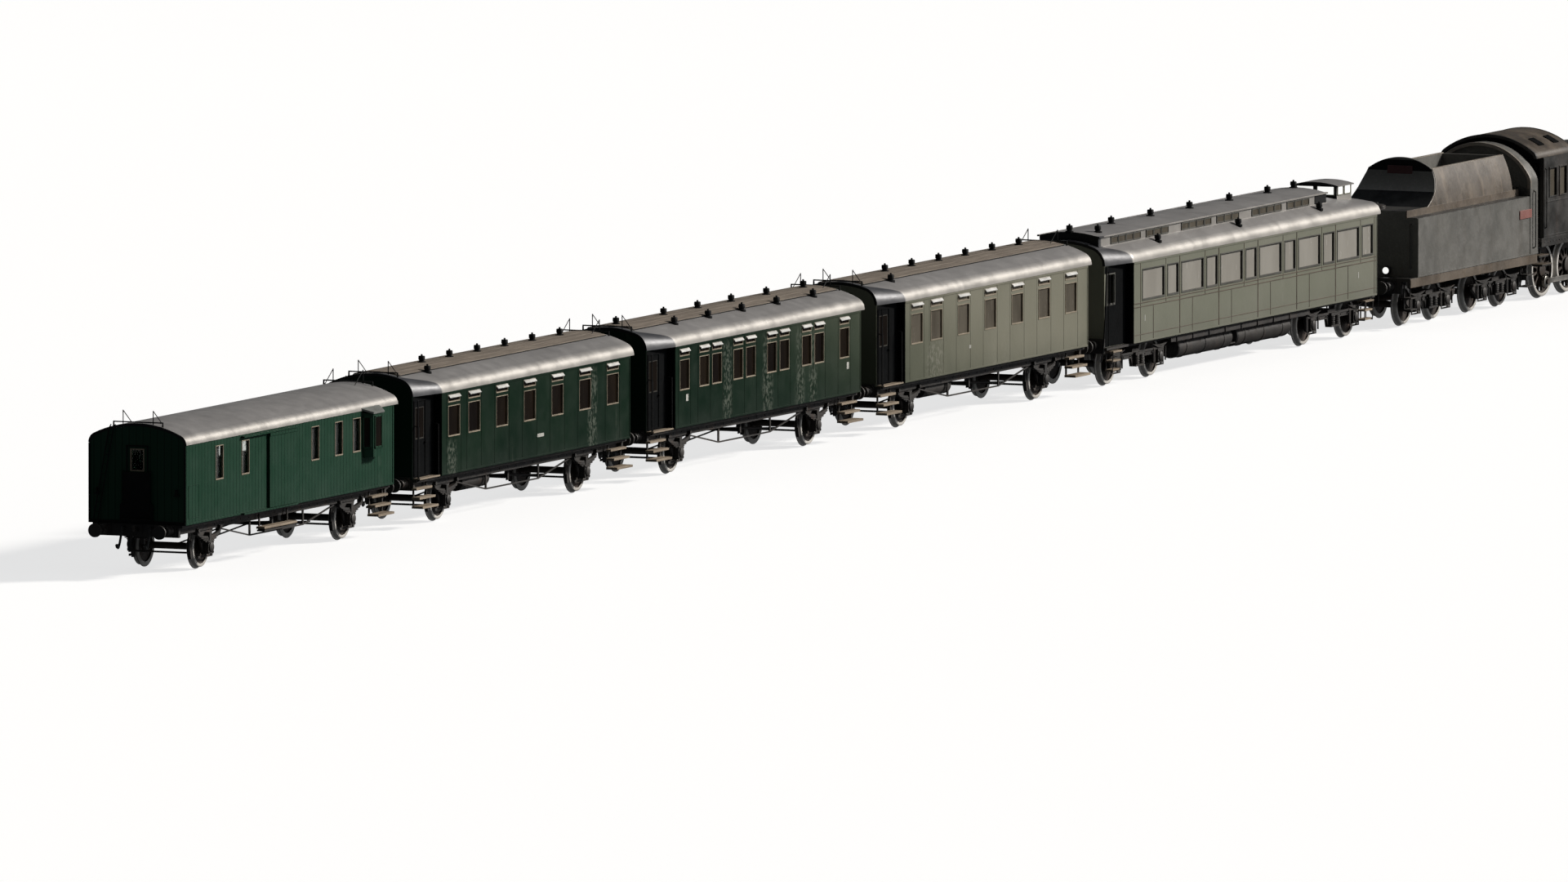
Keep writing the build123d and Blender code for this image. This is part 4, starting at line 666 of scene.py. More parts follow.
def coupling_gear(shape, x, outward):
    """Draw hook and its plate on a headstock."""
    shape.box((x, x + outward * 0.3), (-1.7, 1.7), (BUFFER_Z - 1.2, BUFFER_Z + 1.5))
    hook = [(0, -0.5), (2.2, -0.5), (2.9, 0.1), (2.9, 1.0), (2.4, 1.3), (2.3, 0.5), (1.9, 0.3), (0, 0.5)]
    shape.side([(x + outward * u, BUFFER_Z + v) for u, v in hook], -0.4, 0.4)


def hose(shape, x, outward, y, top):
    """A brake hose that hangs from its cock on the headstock."""
    shape.curve([(x, y, top), (x + outward * 1.2, y, top - 0.2), (x + outward * 1.9, y, top - 1.8),
                 (x + outward * 2.3, y + 0.3, top - 4.4), (x + outward * 3.2, y + 0.4, top - 5.8),
                 (x + outward * 3.8, y + 0.5, top - 5.0)], 0.36)
    shape.turned([(0.5, 0), (0.5, 0.9), (0.34, 1.0)], (x + outward * 3.5, y + 0.45, top - 5.6),
                 (outward * 0.6, 0, 0.8), 10)


def spring_leaves(shape, x, side, z):
    """Stacked leaves and the buckle of a leaf spring."""
    for level, reach in enumerate((7.4, 6.0, 4.6, 3.2)):
        top = [(x + reach * t / 6,
                z - 0.12 - 0.36 * level + 0.022 * (reach * t / 6) ** 2 * 0.8) for t in range(-6, 7)]
        low = [(u, v - 0.26) for u, v in reversed(top)]
        shape.side(top + low, side * 11.15, side * 12.4)
    shape.box((x - 0.75, x + 0.75), (side * 11.0, side * 12.6), (z - 1.7, z + 1.4))
    for end in (-1, 1):
        shape.turned([(0.55, 0), (0.55, 1.5)], (x + end * 7.6, side * 11.0, z + 2.3), (0, side, 0), 10)


def axlebox_cover(shape, x, side, y):
    """Front cover of an axlebox with its lid bolts."""
    shape.turned([(1.45, -0.1), (1.45, 0.3), (1.1, 0.5), (0.5, 0.62)], (x, side * y, AXLE_Z), (0, side, 0),
                 16)
    for dx in (-1.35, 1.35):
        for dz in (-1.4, 1.4):
            shape.turned([(0.22, -0.1), (0.22, 0.25)], (x + dx, side * y, AXLE_Z + dz), (0, side, 0), 6)
    shape.box((x - 0.5, x + 0.5), (side * (y - 0.1), side * (y + 0.3)), (AXLE_Z - 2.35, AXLE_Z - 1.7))


def brake_shoe(shape, x, end, side, hang):
    """A brake block beside a tread, hung from a height."""
    inner = arc((0.0, AXLE_Z - 0.3), TREAD_R + 0.25, range(-24, 25, 8))
    outer = arc((0.0, AXLE_Z - 0.3), TREAD_R + 1.35, range(24, -25, -8))
    shape.side([(x + end * u, v) for u, v in inner + outer], side * 8.45, side * 9.35)
    foot = (x + end * (TREAD_R + 1.5), side * 9.0, AXLE_Z - 0.4)
    shape.tube([foot, (x + end * (TREAD_R + 1.7), side * 9.0, hang)], 0.3, 8)


def brake_hoses(vehicle, ends, rise=0.6):
    """Two brake hoses at each of a vehicle's headstocks."""
    shape = Shape()
    for x, outward in ends:
        for y in (-4.6, 4.2):
            hose(shape, x, outward, y, BUFFER_Z + rise)
    shape.make(f"{vehicle}_hoses", vehicle, RUBBER, "frame_black", 0.0)


def running_gear(vehicle, axles, floor_z, x0, x1):
    """Springs, axlebox covers, brakes and end fittings of a vehicle with two fixed axles."""
    gear = Shape()
    for axle_x in axles:
        for side in (-1, 1):
            spring_leaves(gear, axle_x, side, AXLE_Z + 2.9)
            axlebox_cover(gear, axle_x, side, 12.7)
            gear.box((axle_x - 5.0, axle_x + 5.0), (side * 10.5, side * 10.9), (AXLE_Z - 3.0, AXLE_Z - 2.35))
            for end in (-1, 1):
                brake_shoe(gear, axle_x, end, side, floor_z - 1.0)
        for x in (axle_x - 7.3, axle_x + 7.3):
            gear.tube([(x, -8.8, AXLE_Z - 1.2), (x, 8.8, AXLE_Z - 1.2)], 0.3, 8)
    middle = (axles[0] + axles[1]) / 2
    shaft_z = AXLE_Z + 2.4
    for y in (-2.4, 2.4):
        gear.tube([(axles[0] + 7.3, y, AXLE_Z - 0.6), (middle, y, shaft_z),
                   (axles[1] - 7.3, y, AXLE_Z - 0.6)], 0.25, 8)
    gear.tube([(middle, -9.6, shaft_z), (middle, 9.6, shaft_z)], 0.5, 10)
    for side in (-1, 1):
        gear.box((middle - 0.5, middle + 0.5), (side * 9.2, side * 9.7), (AXLE_Z + 1.6, floor_z - 0.8))
        for rivet in range(int((x1 - x0) // 6)):
            gear.turned([(0.2, -0.05), (0.2, 0.12), (0.1, 0.2)],
                        (x0 + 4 + rivet * 6, side * 11.5, floor_z - 1.9), (0, side, 0), 6)
    gear.make(f"{vehicle}_running_gear", vehicle, BLACK, "frame_black")
    headstocks = ((x0, -1), (x1, 1))
    ends = Shape()
    for x, outward in headstocks:
        buffer_trim(ends, x, outward)
        coupling_gear(ends, x, outward)
    ends.make(f"{vehicle}_buffer_trim", vehicle, BLACK, "frame_black")
    brake_hoses(vehicle, headstocks)


def boards(shape, x, side, top_z, half=5.5):
    """Wooden treads over the three hanging steps."""
    for rung, outer in enumerate((13.9, 14.9, 15.9)):
        z = top_z - 2.2 - 2.6 * rung
        shape.box((x - half - 0.1, x + half + 0.1), (side * 12.45, side * (outer + 0.1)), (z - 0.08, z + 0.6))


def tyres(node, body, x, z, radius, rim):
    """Bright tyre faces on both wheels of a wheelset."""
    shape = Shape()
    for side in (-1, 1):
        profile = [(rim - 0.02, 9.3), (rim - 0.02, 9.5), (rim + 0.1, 9.54), (radius - 0.12, 9.54),
                   (radius + 0.04, 9.42),
                   (radius + 0.04, 8.36), (radius + 0.59, 8.05), (radius + 0.59, 7.88), (radius + 0.4, 7.75),
                   (rim - 0.02, 7.75), (rim - 0.02, 7.9), (rim + 0.3, 8.1), (rim + 0.3, 9.3)]
        n = len(profile)
        verts = []
        faces = []
        for i in range(64):
            a = 2 * math.pi * i / 64
            verts += [(x + r * math.cos(a), side * y, z + r * math.sin(a)) for r, y in profile]
            j = (i + 1) % 64
            for k in range(n):
                m = (k + 1) % n
                faces.append([i * n + k, i * n + m, j * n + m, j * n + k])
        shape.add(verts, faces)
    shape.make(f"{node}_tyres", body, TYRE, "wheel_steel", 0.0, 60)


def disc_trim(node, body, x, z):
    """Hub rings and bolts on a disc wheel."""
    shape = Shape()
    for side in (-1, 1):
        shape.turned([(2.15, 8.8), (2.15, 9.12), (1.85, 9.3), (1.6, 9.34)], (x, 0, z), (0, side, 0), 28)
        shape.turned([(1.1, 9.4), (1.1, 10.0), (0.8, 10.2)], (x, 0, z), (0, side, 0), 20)
        for hole in range(4):
            a = math.radians(45 + 90 * hole)
            shape.turned([(0.55, 8.8), (0.55, 9.02), (0.4, 9.06)],
                         (x + 3.35 * math.cos(a), 0, z + 3.35 * math.sin(a)), (0, side, 0), 12)
    shape.make(f"{node}_trim", body, WHEEL, "wheel_steel", 0.0)


def side_frames(shape, xs, width, zs, y, bar=0.25):
    """Window frames in a row on the near side, each with a deeper sill."""
    for x in xs:
        shape.window((x - width / 2 + 0.02, x + width / 2 - 0.02), zs, -y + 0.35, -y - 0.14, bar, bar * 1.6)


def end_door(shape, end_x, outward, frame_zs, door_zs, post_zs, sill):
    """The door, its frame, the two posts and the fall plate of a gangway between vehicles."""
    shape.end_window((-3.6, 3.6), frame_zs, end_x - 0.02, end_x + outward * 0.5, 0.5)
    shape.box((end_x, end_x + outward * 0.3), (-3.2, 3.2), door_zs)
    for y in (-4.6, 4.6):
        shape.box((end_x, end_x + outward * 1.6), (y - 0.5, y + 0.5), post_zs)
    reach, sill_z = sill
    shape.box((end_x, end_x + outward * reach), (-4.4, 4.4), (sill_z, sill_z + 0.6))


# ---------------------------------------------------------------- luggage van
def bay_window(panes, bars, start, end, side):
    """A pane and its frame on one face of a lookout bay."""
    along = end - start
    out = Vector((-along.y, along.x, 0)).normalized()
    if out.y * side < 0:
        out = -out
    length = along.length
    along.normalize()
    left, right = (0.16, 0.84) if length < 5 else (0.1, 0.9)

    def strip(shape, low, high, inside, outside, zs):
        a, b = start + along * length * low, start + along * length * high
        base = [a + out * inside, b + out * inside, b + out * outside, a + out * outside]
        shape.plan([(p.x, p.y) for p in base], *zs)

    strip(panes, left, right, 0.0, 0.1, (26.8, 35.4))
    bar = 0.5 / length
    for low, high, zs in ((left, right, (26.3, 26.9)), (left, right, (35.3, 35.7)),
                          (left, left + bar, (26.3, 35.7)), (right - bar, right, (26.3, 35.7))):
        strip(bars, low, high, -0.05, 0.25, zs)


def dress_van():
    """Window frames, side trim, rear end, bays, door strip and steps of the luggage van."""
    x0, x1 = VAN, VAN + VAN_LENGTH
    windows = [x0 + x for x in (23.4, 41.5, 90.4, 106.9, 119.4)]
    door = (x0 + 56.9, x0 + 76.4)
    frames = Shape()
    side_frames(frames, windows, 5.5, (25.7, 35.6), 15.1, 0.25)
    frames.mirrored()
    frames.end_window((-2.2, 2.2), (29.45, 35.95), x0 - 0.18, x0 + 0.4, 0.35)
    frames.make("van_window_frames", "van", BEIGE, "van_green")

    trim = Shape()
    trim.window((x0 + 1.6, x0 + 9.0), (16.2, 25.6), -15.0, -15.2, 0.14)
    for x in (x0 + 0.25, x1 - 0.25):
        trim.box((x - 0.4, x + 0.4), (-14.9, -15.28), (14.4, 37.2))
    trim.box((x0, x1), (-15.0, -15.25), (14.4, 15.0))
    trim.box((door[1] + 0.3, door[1] + 0.8), (-15.0, -15.6), (14.9, 36.6))
    trim.mirrored()
    trim.make("van_side_trim", "van", VAN_GREEN, "van_green")

    end = Shape()
    end.end_window((-3.4, 3.4), (15.5, 36.9), x0 - 0.3, x0 + 0.3, 0.35)
    end.box((x0 - 0.28, x0), (-2.7, 2.7), (26.2, 26.7))
    end.box((x0 - 0.35, x0), (-15.1, 15.1), (14.4, 15.3))
    for y in (-14.9, 14.9):
        end.box((x0 - 0.3, x0), (y - 0.25, y + 0.25), (14.6, 37.0))
    plate = [(-4.1, 29.2), (4.1, 29.2), (4.1, 21.0), (5.1, 19.8), (5.1, 14.9), (-5.1, 14.9), (-5.1, 19.8),
             (-4.1, 21.0)]
    end.cross(plate, x0 - 0.9, x0 - 0.25)
    end.box((x0 - 1.9, x0 - 0.6), (-4.6, 4.6), (15.2, 16.0))
    for y in (-4.2, 4.2):
        end.tube([(x0 - 0.1, y, 29.5), (x0 - 0.9, y, 29.5), (x0 - 0.9, y, 20.0), (x0 - 0.1, y, 20.0)], 0.18,
                 8)
    for top_y, foot_y in ((7.2, 12.0), (8.6, 13.4)):
        end.tube([(x0 + 0.4, top_y - 0.2, 42.6), (x0 - 0.7, top_y, 41.4), (x0 - 0.9, foot_y, 15.2),
                  (x0 - 0.5, foot_y, 13.4)], 0.18, 8)
    for step in range(9):
        z = 17.6 + 2.75 * step
        shift = 4.8 * (41.4 - z) / 26.2
        end.tube([(x0 - 0.9, 7.2 + shift, z), (x0 - 0.9, 8.6 + shift, z)], 0.1, 6)
    for y in (-12.4, 12.4):
        end.box((x0 - 0.9, x0), (y - 0.25, y + 0.25), (23.0, 24.6))
        end.box((x0 - 0.9, x0), (y - 0.8, y + 0.8), (22.7, 23.0))
    end.make("van_end_fittings", "van", DARK, "dark_steel")

    bars = Shape()
    roof_bar(bars, x0 + 0.6, 1, VAN_ARCH)
    roof_bar(bars, x1 + 2.2, -1, VAN_ARCH)
    bars.make("van_roof_bars", "van", DARK, "dark_steel", 0.0)

    bay = Shape()
    for side in (-1, 1):
        upper = [(x0 + 122.3, side * 15.1, 38.2), (x0 + 135.2, side * 15.1, 38.2),
                 (x0 + 132.5, side * 18.1, 36.9), (x0 + 124.9, side * 18.1, 36.9)]
        bay.slab(upper, [(x, y, z - 0.6) for x, y, z in upper])
    bay.make("van_bay_roofs", "van", GREY_TRIM, "roof_grey")
    panes = Shape()
    bars = Shape()
    for side in (-1, 1):
        corners = [(x0 + 122.9, side * 14.7), (x0 + 125.4, side * 17.75),
                   (x0 + 132.0, side * 17.75), (x0 + 134.6, side * 14.7)]
        for start, end in zip(corners, corners[1:]):
            bay_window(panes, bars, Vector((*start, 0)), Vector((*end, 0)), side)
    panes.make("van_bay_panes", "van", PANE_DARK, "clear_glazing", 0.0)
    bars.make("van_bay_frames", "van", VAN_GREEN, "van_green")

    door_trim = Shape()
    door_trim.box(door, (-15.95, -16.15), (35.4, 36.2))
    door_trim.make("van_door_trim", "van_door", VAN_GREEN, "van_green")

    steps = Shape()
    for side in (-1, 1):
        steps.box((door[0] - 1.7, door[1] + 1.7), (side * 12.35, side * WALL_Y),
                  (VAN_FLOOR - 5.45, VAN_FLOOR - 4.8))
        boards(steps, x0 + 138.5, side, VAN_FLOOR - 0.8)
    steps.make("van_step_boards", "van", BOARD, "frame_black")


# ---------------------------------------------------------------- four-wheel coaches
def dress_coach(name, x0, centres, width, vents, near_vents, sash, trim_paint, slot, plates):
    """Everything that a four-wheel coach wears above its floor."""
    x1 = x0 + COACH_LENGTH
    middle = (x0 + x1) / 2
    near = [x0 + 15.1 + x for x in centres]
    frames = Shape()
    side_frames(frames, near, width, (24.8, 33.8), 15.1)
    side_frames(frames, near, width, (34.7, 36.9), 15.1, 0.22)
    frames.half_turn(middle)
    frames.make(f"{name}_window_frames", name, BEIGE, slot)
    frames = Shape()
    side_frames(frames, [x0 + 4.8], 6.1, (25.4, 34.6), 12.6)
    frames.half_turn(middle)
    frames.make(f"{name}_recess_frames", name, RECESS_FRAME_SHADE, slot)
    sashes = Shape()
    for x in near:
        sashes.box((x - width / 2 + 0.1, x + width / 2 - 0.1), (-14.55, -14.75), (24.9, 33.7))
        sashes.box((x - width / 2 + 0.1, x + width / 2 - 0.1), (-14.55, -14.75), (34.8, 36.8))
    sashes.half_turn(middle)
    sashes.make(f"{name}_sash_panes", name, sash, "clear_glazing", 0.0)

    hoods = Shape()
    for x in near:
        half = width / 2 - 0.25
        hoods.cross([(-15.05, 37.0), (-15.75, 36.25), (-15.75, 36.0), (-15.05, 36.6)], x - half, x + half)
    hoods.half_turn(middle)
    hoods.make(f"{name}_vent_hoods", name, HOOD, "roof_grey", 0.04)

    seams = Shape()
    flanks = sorted(x + end * (width / 2 + 0.95) for x in near for end in (-1, 1))
    for x, after in zip(flanks, flanks[1:] + [x1]):
        if after - x > 1.0:
            seams.box((x - 0.08, x + 0.08), (-15.0, -15.17), (14.1, 37.8))
    for x in (x0 + 15.35, x1 - 0.25):
        seams.box((x - 0.25, x + 0.25), (-15.0, -15.24), (14.1, 37.8))
    seams.box((x0 + 15.1, x1), (-15.0, -15.22), (14.05, 14.6))
    seams.box((x0 + 15.1, x1), (-15.0, -15.3), (37.3, 37.8))
    seams.half_turn(middle)
    seams.make(f"{name}_panel_seams", name, trim_paint, slot)

    walk = Shape()
    for plank in range(5):
        edges = [(y, arch_z(COACH_ARCH, y)) for y in (plank * 2.9 - 7.2, plank * 2.9 - 4.44)]
        outline = [(y, z - 0.2) for y, z in edges] + [(y, z + 0.4) for y, z in reversed(edges)]
        walk.cross(outline, x0 + 3.0, x1 + 0.5)
    walk.make(f"{name}_roof_walkway", name, WALK, "roof_grey", 0.08)
    fascia = Shape()
    edge_z = arch_z(COACH_ARCH, 7.25)
    fascia.box((x0 + 3.0, x1 + 0.5), (-7.36, -7.18), (edge_z - 0.3, edge_z + 0.22))
    fascia.mirrored()
    fascia.make(f"{name}_walkway_edges", name, DARK, "dark_steel", 0.0)

    tops = Shape()
    for x in vents:
        roof_vent(tops, x0 + x, 0.0, 44.6)
    for x in near_vents:
        roof_vent(tops, x0 + x, -8.2, arch_z(COACH_ARCH, 8.2))
    tops.make(f"{name}_roof_vents", name, DARK, "dark_steel", 0.0)

    ends = Shape()
    for x, inward in ((x0 + 0.8, 1), (x1 + 1.7, -1)):
        roof_bar(ends, x, inward, COACH_ARCH)
        end_x = x0 if inward > 0 else x1
        end_door(ends, end_x, -inward, (14.6, 36.6), (15.0, 36.2), (16.0, 36.4), (2.4, 15.4))
    ladder = x0 - 0.8
    for y in (6.2, 8.4):
        ends.tube([(x0 + 0.5, y, 43.2), (ladder, y, 41.5), (ladder, y + 2.2, 14.6)], 0.2, 8)
    for step in range(9):
        z = 17.0 + 2.7 * step
        shift = 2.2 * (41.5 - z) / 26.9
        ends.tube([(ladder, 6.2 + shift, z), (ladder, 8.4 + shift, z)], 0.15, 6)
    ends.make(f"{name}_end_fittings", name, DARK, "dark_steel")

    # Recess walls in near black: painted shade inside the door recesses.
    recess = Shape()
    recess.box((x0 + 14.9, x0 + 15.16), (-12.7, -15.0), (14.2, 37.6))
    recess.box((x0 + 0.2, x0 + 14.9), (-12.6, -12.68), (14.2, 37.6))
    recess.half_turn(middle)
    recess.make(f"{name}_recess_walls", name, RECESS_SHADE_BLACK, slot, 0.0)
    panes = Shape()
    panes.box((x0 + 1.9, x0 + 7.7), (-12.6, -12.72), (25.7, 34.3))
    panes.half_turn(middle)
    panes.make(f"{name}_recess_panes", name, PANE_DARK, "clear_glazing", 0.0)
    # The recessed doors are near black as painted shade too.
    doors = Shape()
    doors.window((x0 + 0.8, x0 + 8.8), (14.8, 36.6), -12.5, -12.9, 0.3)
    doors.box((x0 + 8.0, x0 + 8.5), (-12.6, -13.3), (24.0, 24.5))
    doors.half_turn(middle)
    doors.make(f"{name}_doors", name, RECESS_SHADE_BLACK, slot)

    rails = Shape()
    for x, y in ((x0 + 1.2, -14.2), (x0 + 14.0, -14.6)):
        rails.tube([(x, y, 13.6), (x, y, 29.0), (x, -12.4, 29.6)], 0.18, 8)
    rails.tube([(x0 + 0.6, -14.2, 13.4), (x0 + 0.6, -14.2, 36.8)], 0.2, 8)
    rails.half_turn(middle)
    rails.make(f"{name}_handrails", name, DARK, "dark_steel", 0.0)

    steps = Shape()
    for side in (-1, 1):
        for step_x in (x0 + 5.5, x1 - 5.5):
            boards(steps, step_x, side, COACH_FLOOR - 0.8)
    steps.box((x0 + 0.4, x0 + 14.6), (-12.4, -14.9), (13.95, 14.4))
    steps.box((x1 - 0.4, x1 - 14.6), (12.4, 14.9), (13.95, 14.4))
    steps.make(f"{name}_step_boards", name, BOARD, "frame_black")

    marks = Shape()
    for x, z, length, height in plates:
        marks.box((x0 + x, x0 + x + length), (-15.0, -15.16), (z, z + height))
    marks.half_turn(middle)
    marks.make(f"{name}_blank_plates", name, MARK, slot, 0.03)


# ---------------------------------------------------------------- bogie coach
def dress_saloon():
    """Everything that the bogie coach wears, but for its bogies."""
    x0, x1 = SALOON, SALOON + SALOON_LENGTH
    middle = (x0 + x1) / 2
    dress_saloon_sides(x0, x1, middle)
    dress_clerestory(x0)
    dress_cupola(x0)
    dress_saloon_ends(x0, x1, middle)
    dress_saloon_underside(x0, x1)

    marks = Shape()
    for x in (x0 + 24.0, x1 - 14.0):
        marks.box((x, x + 0.5), (-15.0, -15.16), (18.2, 20.0))
    marks.half_turn(middle)
    marks.make("saloon_blank_plates", "saloon", MARK, "pale_grey_green", 0.02)


def dress_saloon_sides(x0, x1, middle):
    """Window frames, rails, panes with painted frame shadows along their right and top edges, and edges of
    the sides.
    """
    wide = [x0 + 15.9 + 14.6 + 29.03 * k for k in range(6)]
    narrow = [x + 8.3 + 2.1 + 4.15 for x in wide]
    frames = Shape()
    side_frames(frames, wide, 16.6, (24.2, 33.7), 15.1, 0.4)
    side_frames(frames, narrow, 8.3, (24.2, 33.7), 15.1, 0.4)
    side_frames(frames, [x0 + 4.8], 6.1, (24.2, 33.7), 12.6, 0.4)
    frames.half_turn(middle)
    frames.make("saloon_window_frames", "saloon", FRAME_DARK, "pale_grey_green")
    rail = Shape()
    for z0, z1 in ((22.45, 22.7), (23.55, 23.8)):
        rail.box((x0 + 15.9, x1), (-15.0, -15.25), (z0, z1))
    rail.box((x0 + 15.9, x1), (-15.0, -15.2), (14.3, 14.5))
    for a, b in zip(wide, narrow):
        for x in (a - 9.5, b + 5.2):
            rail.box((x - 0.1, x + 0.1), (-15.0, -15.2), (12.2, 35.6))
        rail.box((a + 9.25, a + 9.45), (-15.0, -15.2), (22.4, 35.6))
        rail.box((a - 0.1, a + 0.1), (-15.0, -15.2), (12.2, 22.4))
    rail.half_turn(middle)
    rail.make("saloon_waist_rails", "saloon", RAIL_BROWN, "pale_grey_green")
    sashes = Shape()
    pane_shadows = Shape()
    for xs, width in ((wide, 16.6), (narrow, 8.3)):
        for x in xs:
            sashes.box((x - width / 2 + 0.1, x + width / 2 - 0.1), (-14.5, -14.72), (24.3, 33.6))
            # Painted shadow: dark strips at each pane's right and top edges, where the frame shades the
            # glass.
            pane_shadows.box((x + width / 2 - 0.75, x + width / 2 - 0.3), (-14.6, -14.8), (24.5, 33.4))
            pane_shadows.box((x - width / 2 + 0.3, x + width / 2 - 0.3), (-14.6, -14.8), (33.1, 33.45))
    sashes.half_turn(middle)
    pane_shadows.half_turn(middle)
    sashes.make("saloon_sash_panes", "saloon", PANE_PALE_REFLECTION, "clear_glazing", 0.0)
    pane_shadows.make("saloon_sash_painted_shadows", "saloon", DARK, "clear_glazing", 0.0)
    edge = Shape()
    edge.box((x0 + 15.9, x1), (-15.0, -15.25), (12.1, 12.6))
    edge.box((x0 + 15.9, x1), (-15.0, -15.3), (35.5, 36.0))
    for x in (x0 + 16.15, x1 - 0.25):
        edge.box((x - 0.25, x + 0.25), (-15.0, -15.24), (12.2, 35.9))
    edge.half_turn(middle)
    edge.make("saloon_edge_strips", "saloon", SHEEN_PALE_GREEN, "pale_grey_green")


def dress_clerestory(x0):
    """The lights, the lips and the dark end of the raised roof."""
    lights = Shape()
    light_frames = Shape()
    for k in range(6):
        start = x0 + 12.0 + 26.2 * k
        for n in range(3 if k % 2 else 4):
            a = start + n * 5.6
            lights.box((a, a + 4.8), (-9.4, -9.55), (41.9, 43.5))
            light_frames.window((a - 0.25, a + 5.05), (41.6, 43.8), -9.4, -9.72, 0.32)
    lights.mirrored()
    light_frames.mirrored()
    lights.make("saloon_clerestory_panes", "saloon", PANE_TAUPE_REFLECTION, "clear_glazing", 0.0)
    light_frames.make("saloon_clerestory_frames", "saloon", FRAME_DARK, "roof_grey", 0.03)
    lips = Shape()
    lips.box((x0 + 2.4, x0 + 172.6), (-10.0, -9.3), (44.0, 44.5))
    lips.box((x0 + 2.9, x0 + 172.1), (-9.8, -9.4), (41.0, 41.45))
    lips.mirrored()
    lips.make("saloon_clerestory_lips", "saloon", ROOF, "roof_grey")

    end = Shape()
    end.box((x0 + 163.7, x0 + 172.1), (-9.6, -9.3), (41.2, 44.0))
    end.box((x0 + 171.9, x0 + 172.2), (-9.5, 9.5), (41.2, 44.2))
    end.mirrored()
    end.make("saloon_clerestory_end", "saloon", DARK, "roof_grey", 0.02)


def dress_cupola(x0):
    """Frames and panes of the lookout cupola, and the ventilators along the roof."""
    cup = Shape()
    glass = Shape()
    a, b = x0 + 186.4, x0 + 197.3
    for y in (-6.87, 6.87):
        out = math.copysign(0.2, y)
        for lo, hi in ((a + 0.6, a + 4.1), (a + 5.6, a + 9.7)):
            cup.window((lo - 0.25, hi + 0.25), (42.15, 45.05), y - out, y + out, 0.35)
            glass.box((lo, hi), (y, y + out * 0.5), (42.4, 44.8))
    for x, out in ((a, -1), (b, 1)):
        for lo, hi in ((-6.2, -0.4), (0.4, 6.2)):
            cup.end_window((lo, hi), (42.15, 45.05), x - 0.05, x + out * 0.2, 0.3)
            glass.box((x, x + out * 0.1), (lo + 0.2, hi - 0.2), (42.4, 44.8))
    cup.make("saloon_cupola_frames", "saloon", SHEEN_PALE_GREEN, "roof_grey", 0.03)
    # The cupola panes glow as painted light, standing for the bright backdrop seen through the cupola.
    glass.make("saloon_cupola_panes", "saloon", GLOW_GLASS, "clear_glazing", 0.0)
    vents = Shape()
    for x in (3.35, 34.15, 63.25, 92.25, 121.85, 150.35, 169.85):
        roof_vent(vents, x0 + x, 0.0, 45.55)
    roof_vent(vents, x0 + 10.45, -6.0, 45.1)
    for x in (40.95, 100.75, 161.15):
        roof_vent(vents, x0 + x, -12.0, arch_z(SALOON_ARCH, 12.0))
    vents.make("saloon_roof_vents", "saloon", DARK, "dark_steel", 0.0)


def dress_saloon_ends(x0, x1, middle):
    """End doors, corner pipes, recess bars and recess walls."""
    ends = Shape()
    for end_x, outward in ((x0, -1), (x1, 1)):
        end_door(ends, end_x, outward, (12.8, 35.2), (13.0, 35.0), (15.0, 35.2), (2.6, 15.0))
        for y in (-13.6, 13.6):
            drop = [(0.2, 1.0, 36.0), (1.0, 1.0, 30.0), (1.1, 0.98, 20.0), (1.6, 0.95, 12.0),
                    (2.6, 0.93, 8.0)]
            ends.curve([(end_x + outward * reach, y * share, z) for reach, share, z in drop], 0.25, 8)
    for x in (x0 + 3.6, x0 + 6.0):
        ends.box((x - 0.1, x + 0.1), (-12.55, -12.95), (24.4, 33.4))
    ends.tube([(x0 + 0.7, -13.7, 12.4), (x0 + 0.7, -13.7, 34.6)], 0.15, 8)
    ends.make("saloon_end_fittings", "saloon", DARK, "dark_steel")
    # Recess walls in near black: painted shade inside the door recess.
    recess = Shape()
    recess.box((x0 + 15.7, x0 + 15.96), (-12.7, -15.0), (12.2, 35.8))
    recess.box((x0 + 0.2, x0 + 15.7), (-12.6, -12.68), (12.2, 24.2))
    recess.box((x0 + 0.2, x0 + 15.7), (-12.6, -12.68), (33.7, 35.8))
    recess.box((x0 + 7.9, x0 + 15.7), (-12.6, -12.68), (24.2, 33.7))
    recess.half_turn(middle)
    recess.make("saloon_recess_walls", "saloon", RECESS_SHADE_BLACK, "pale_grey_green", 0.0)


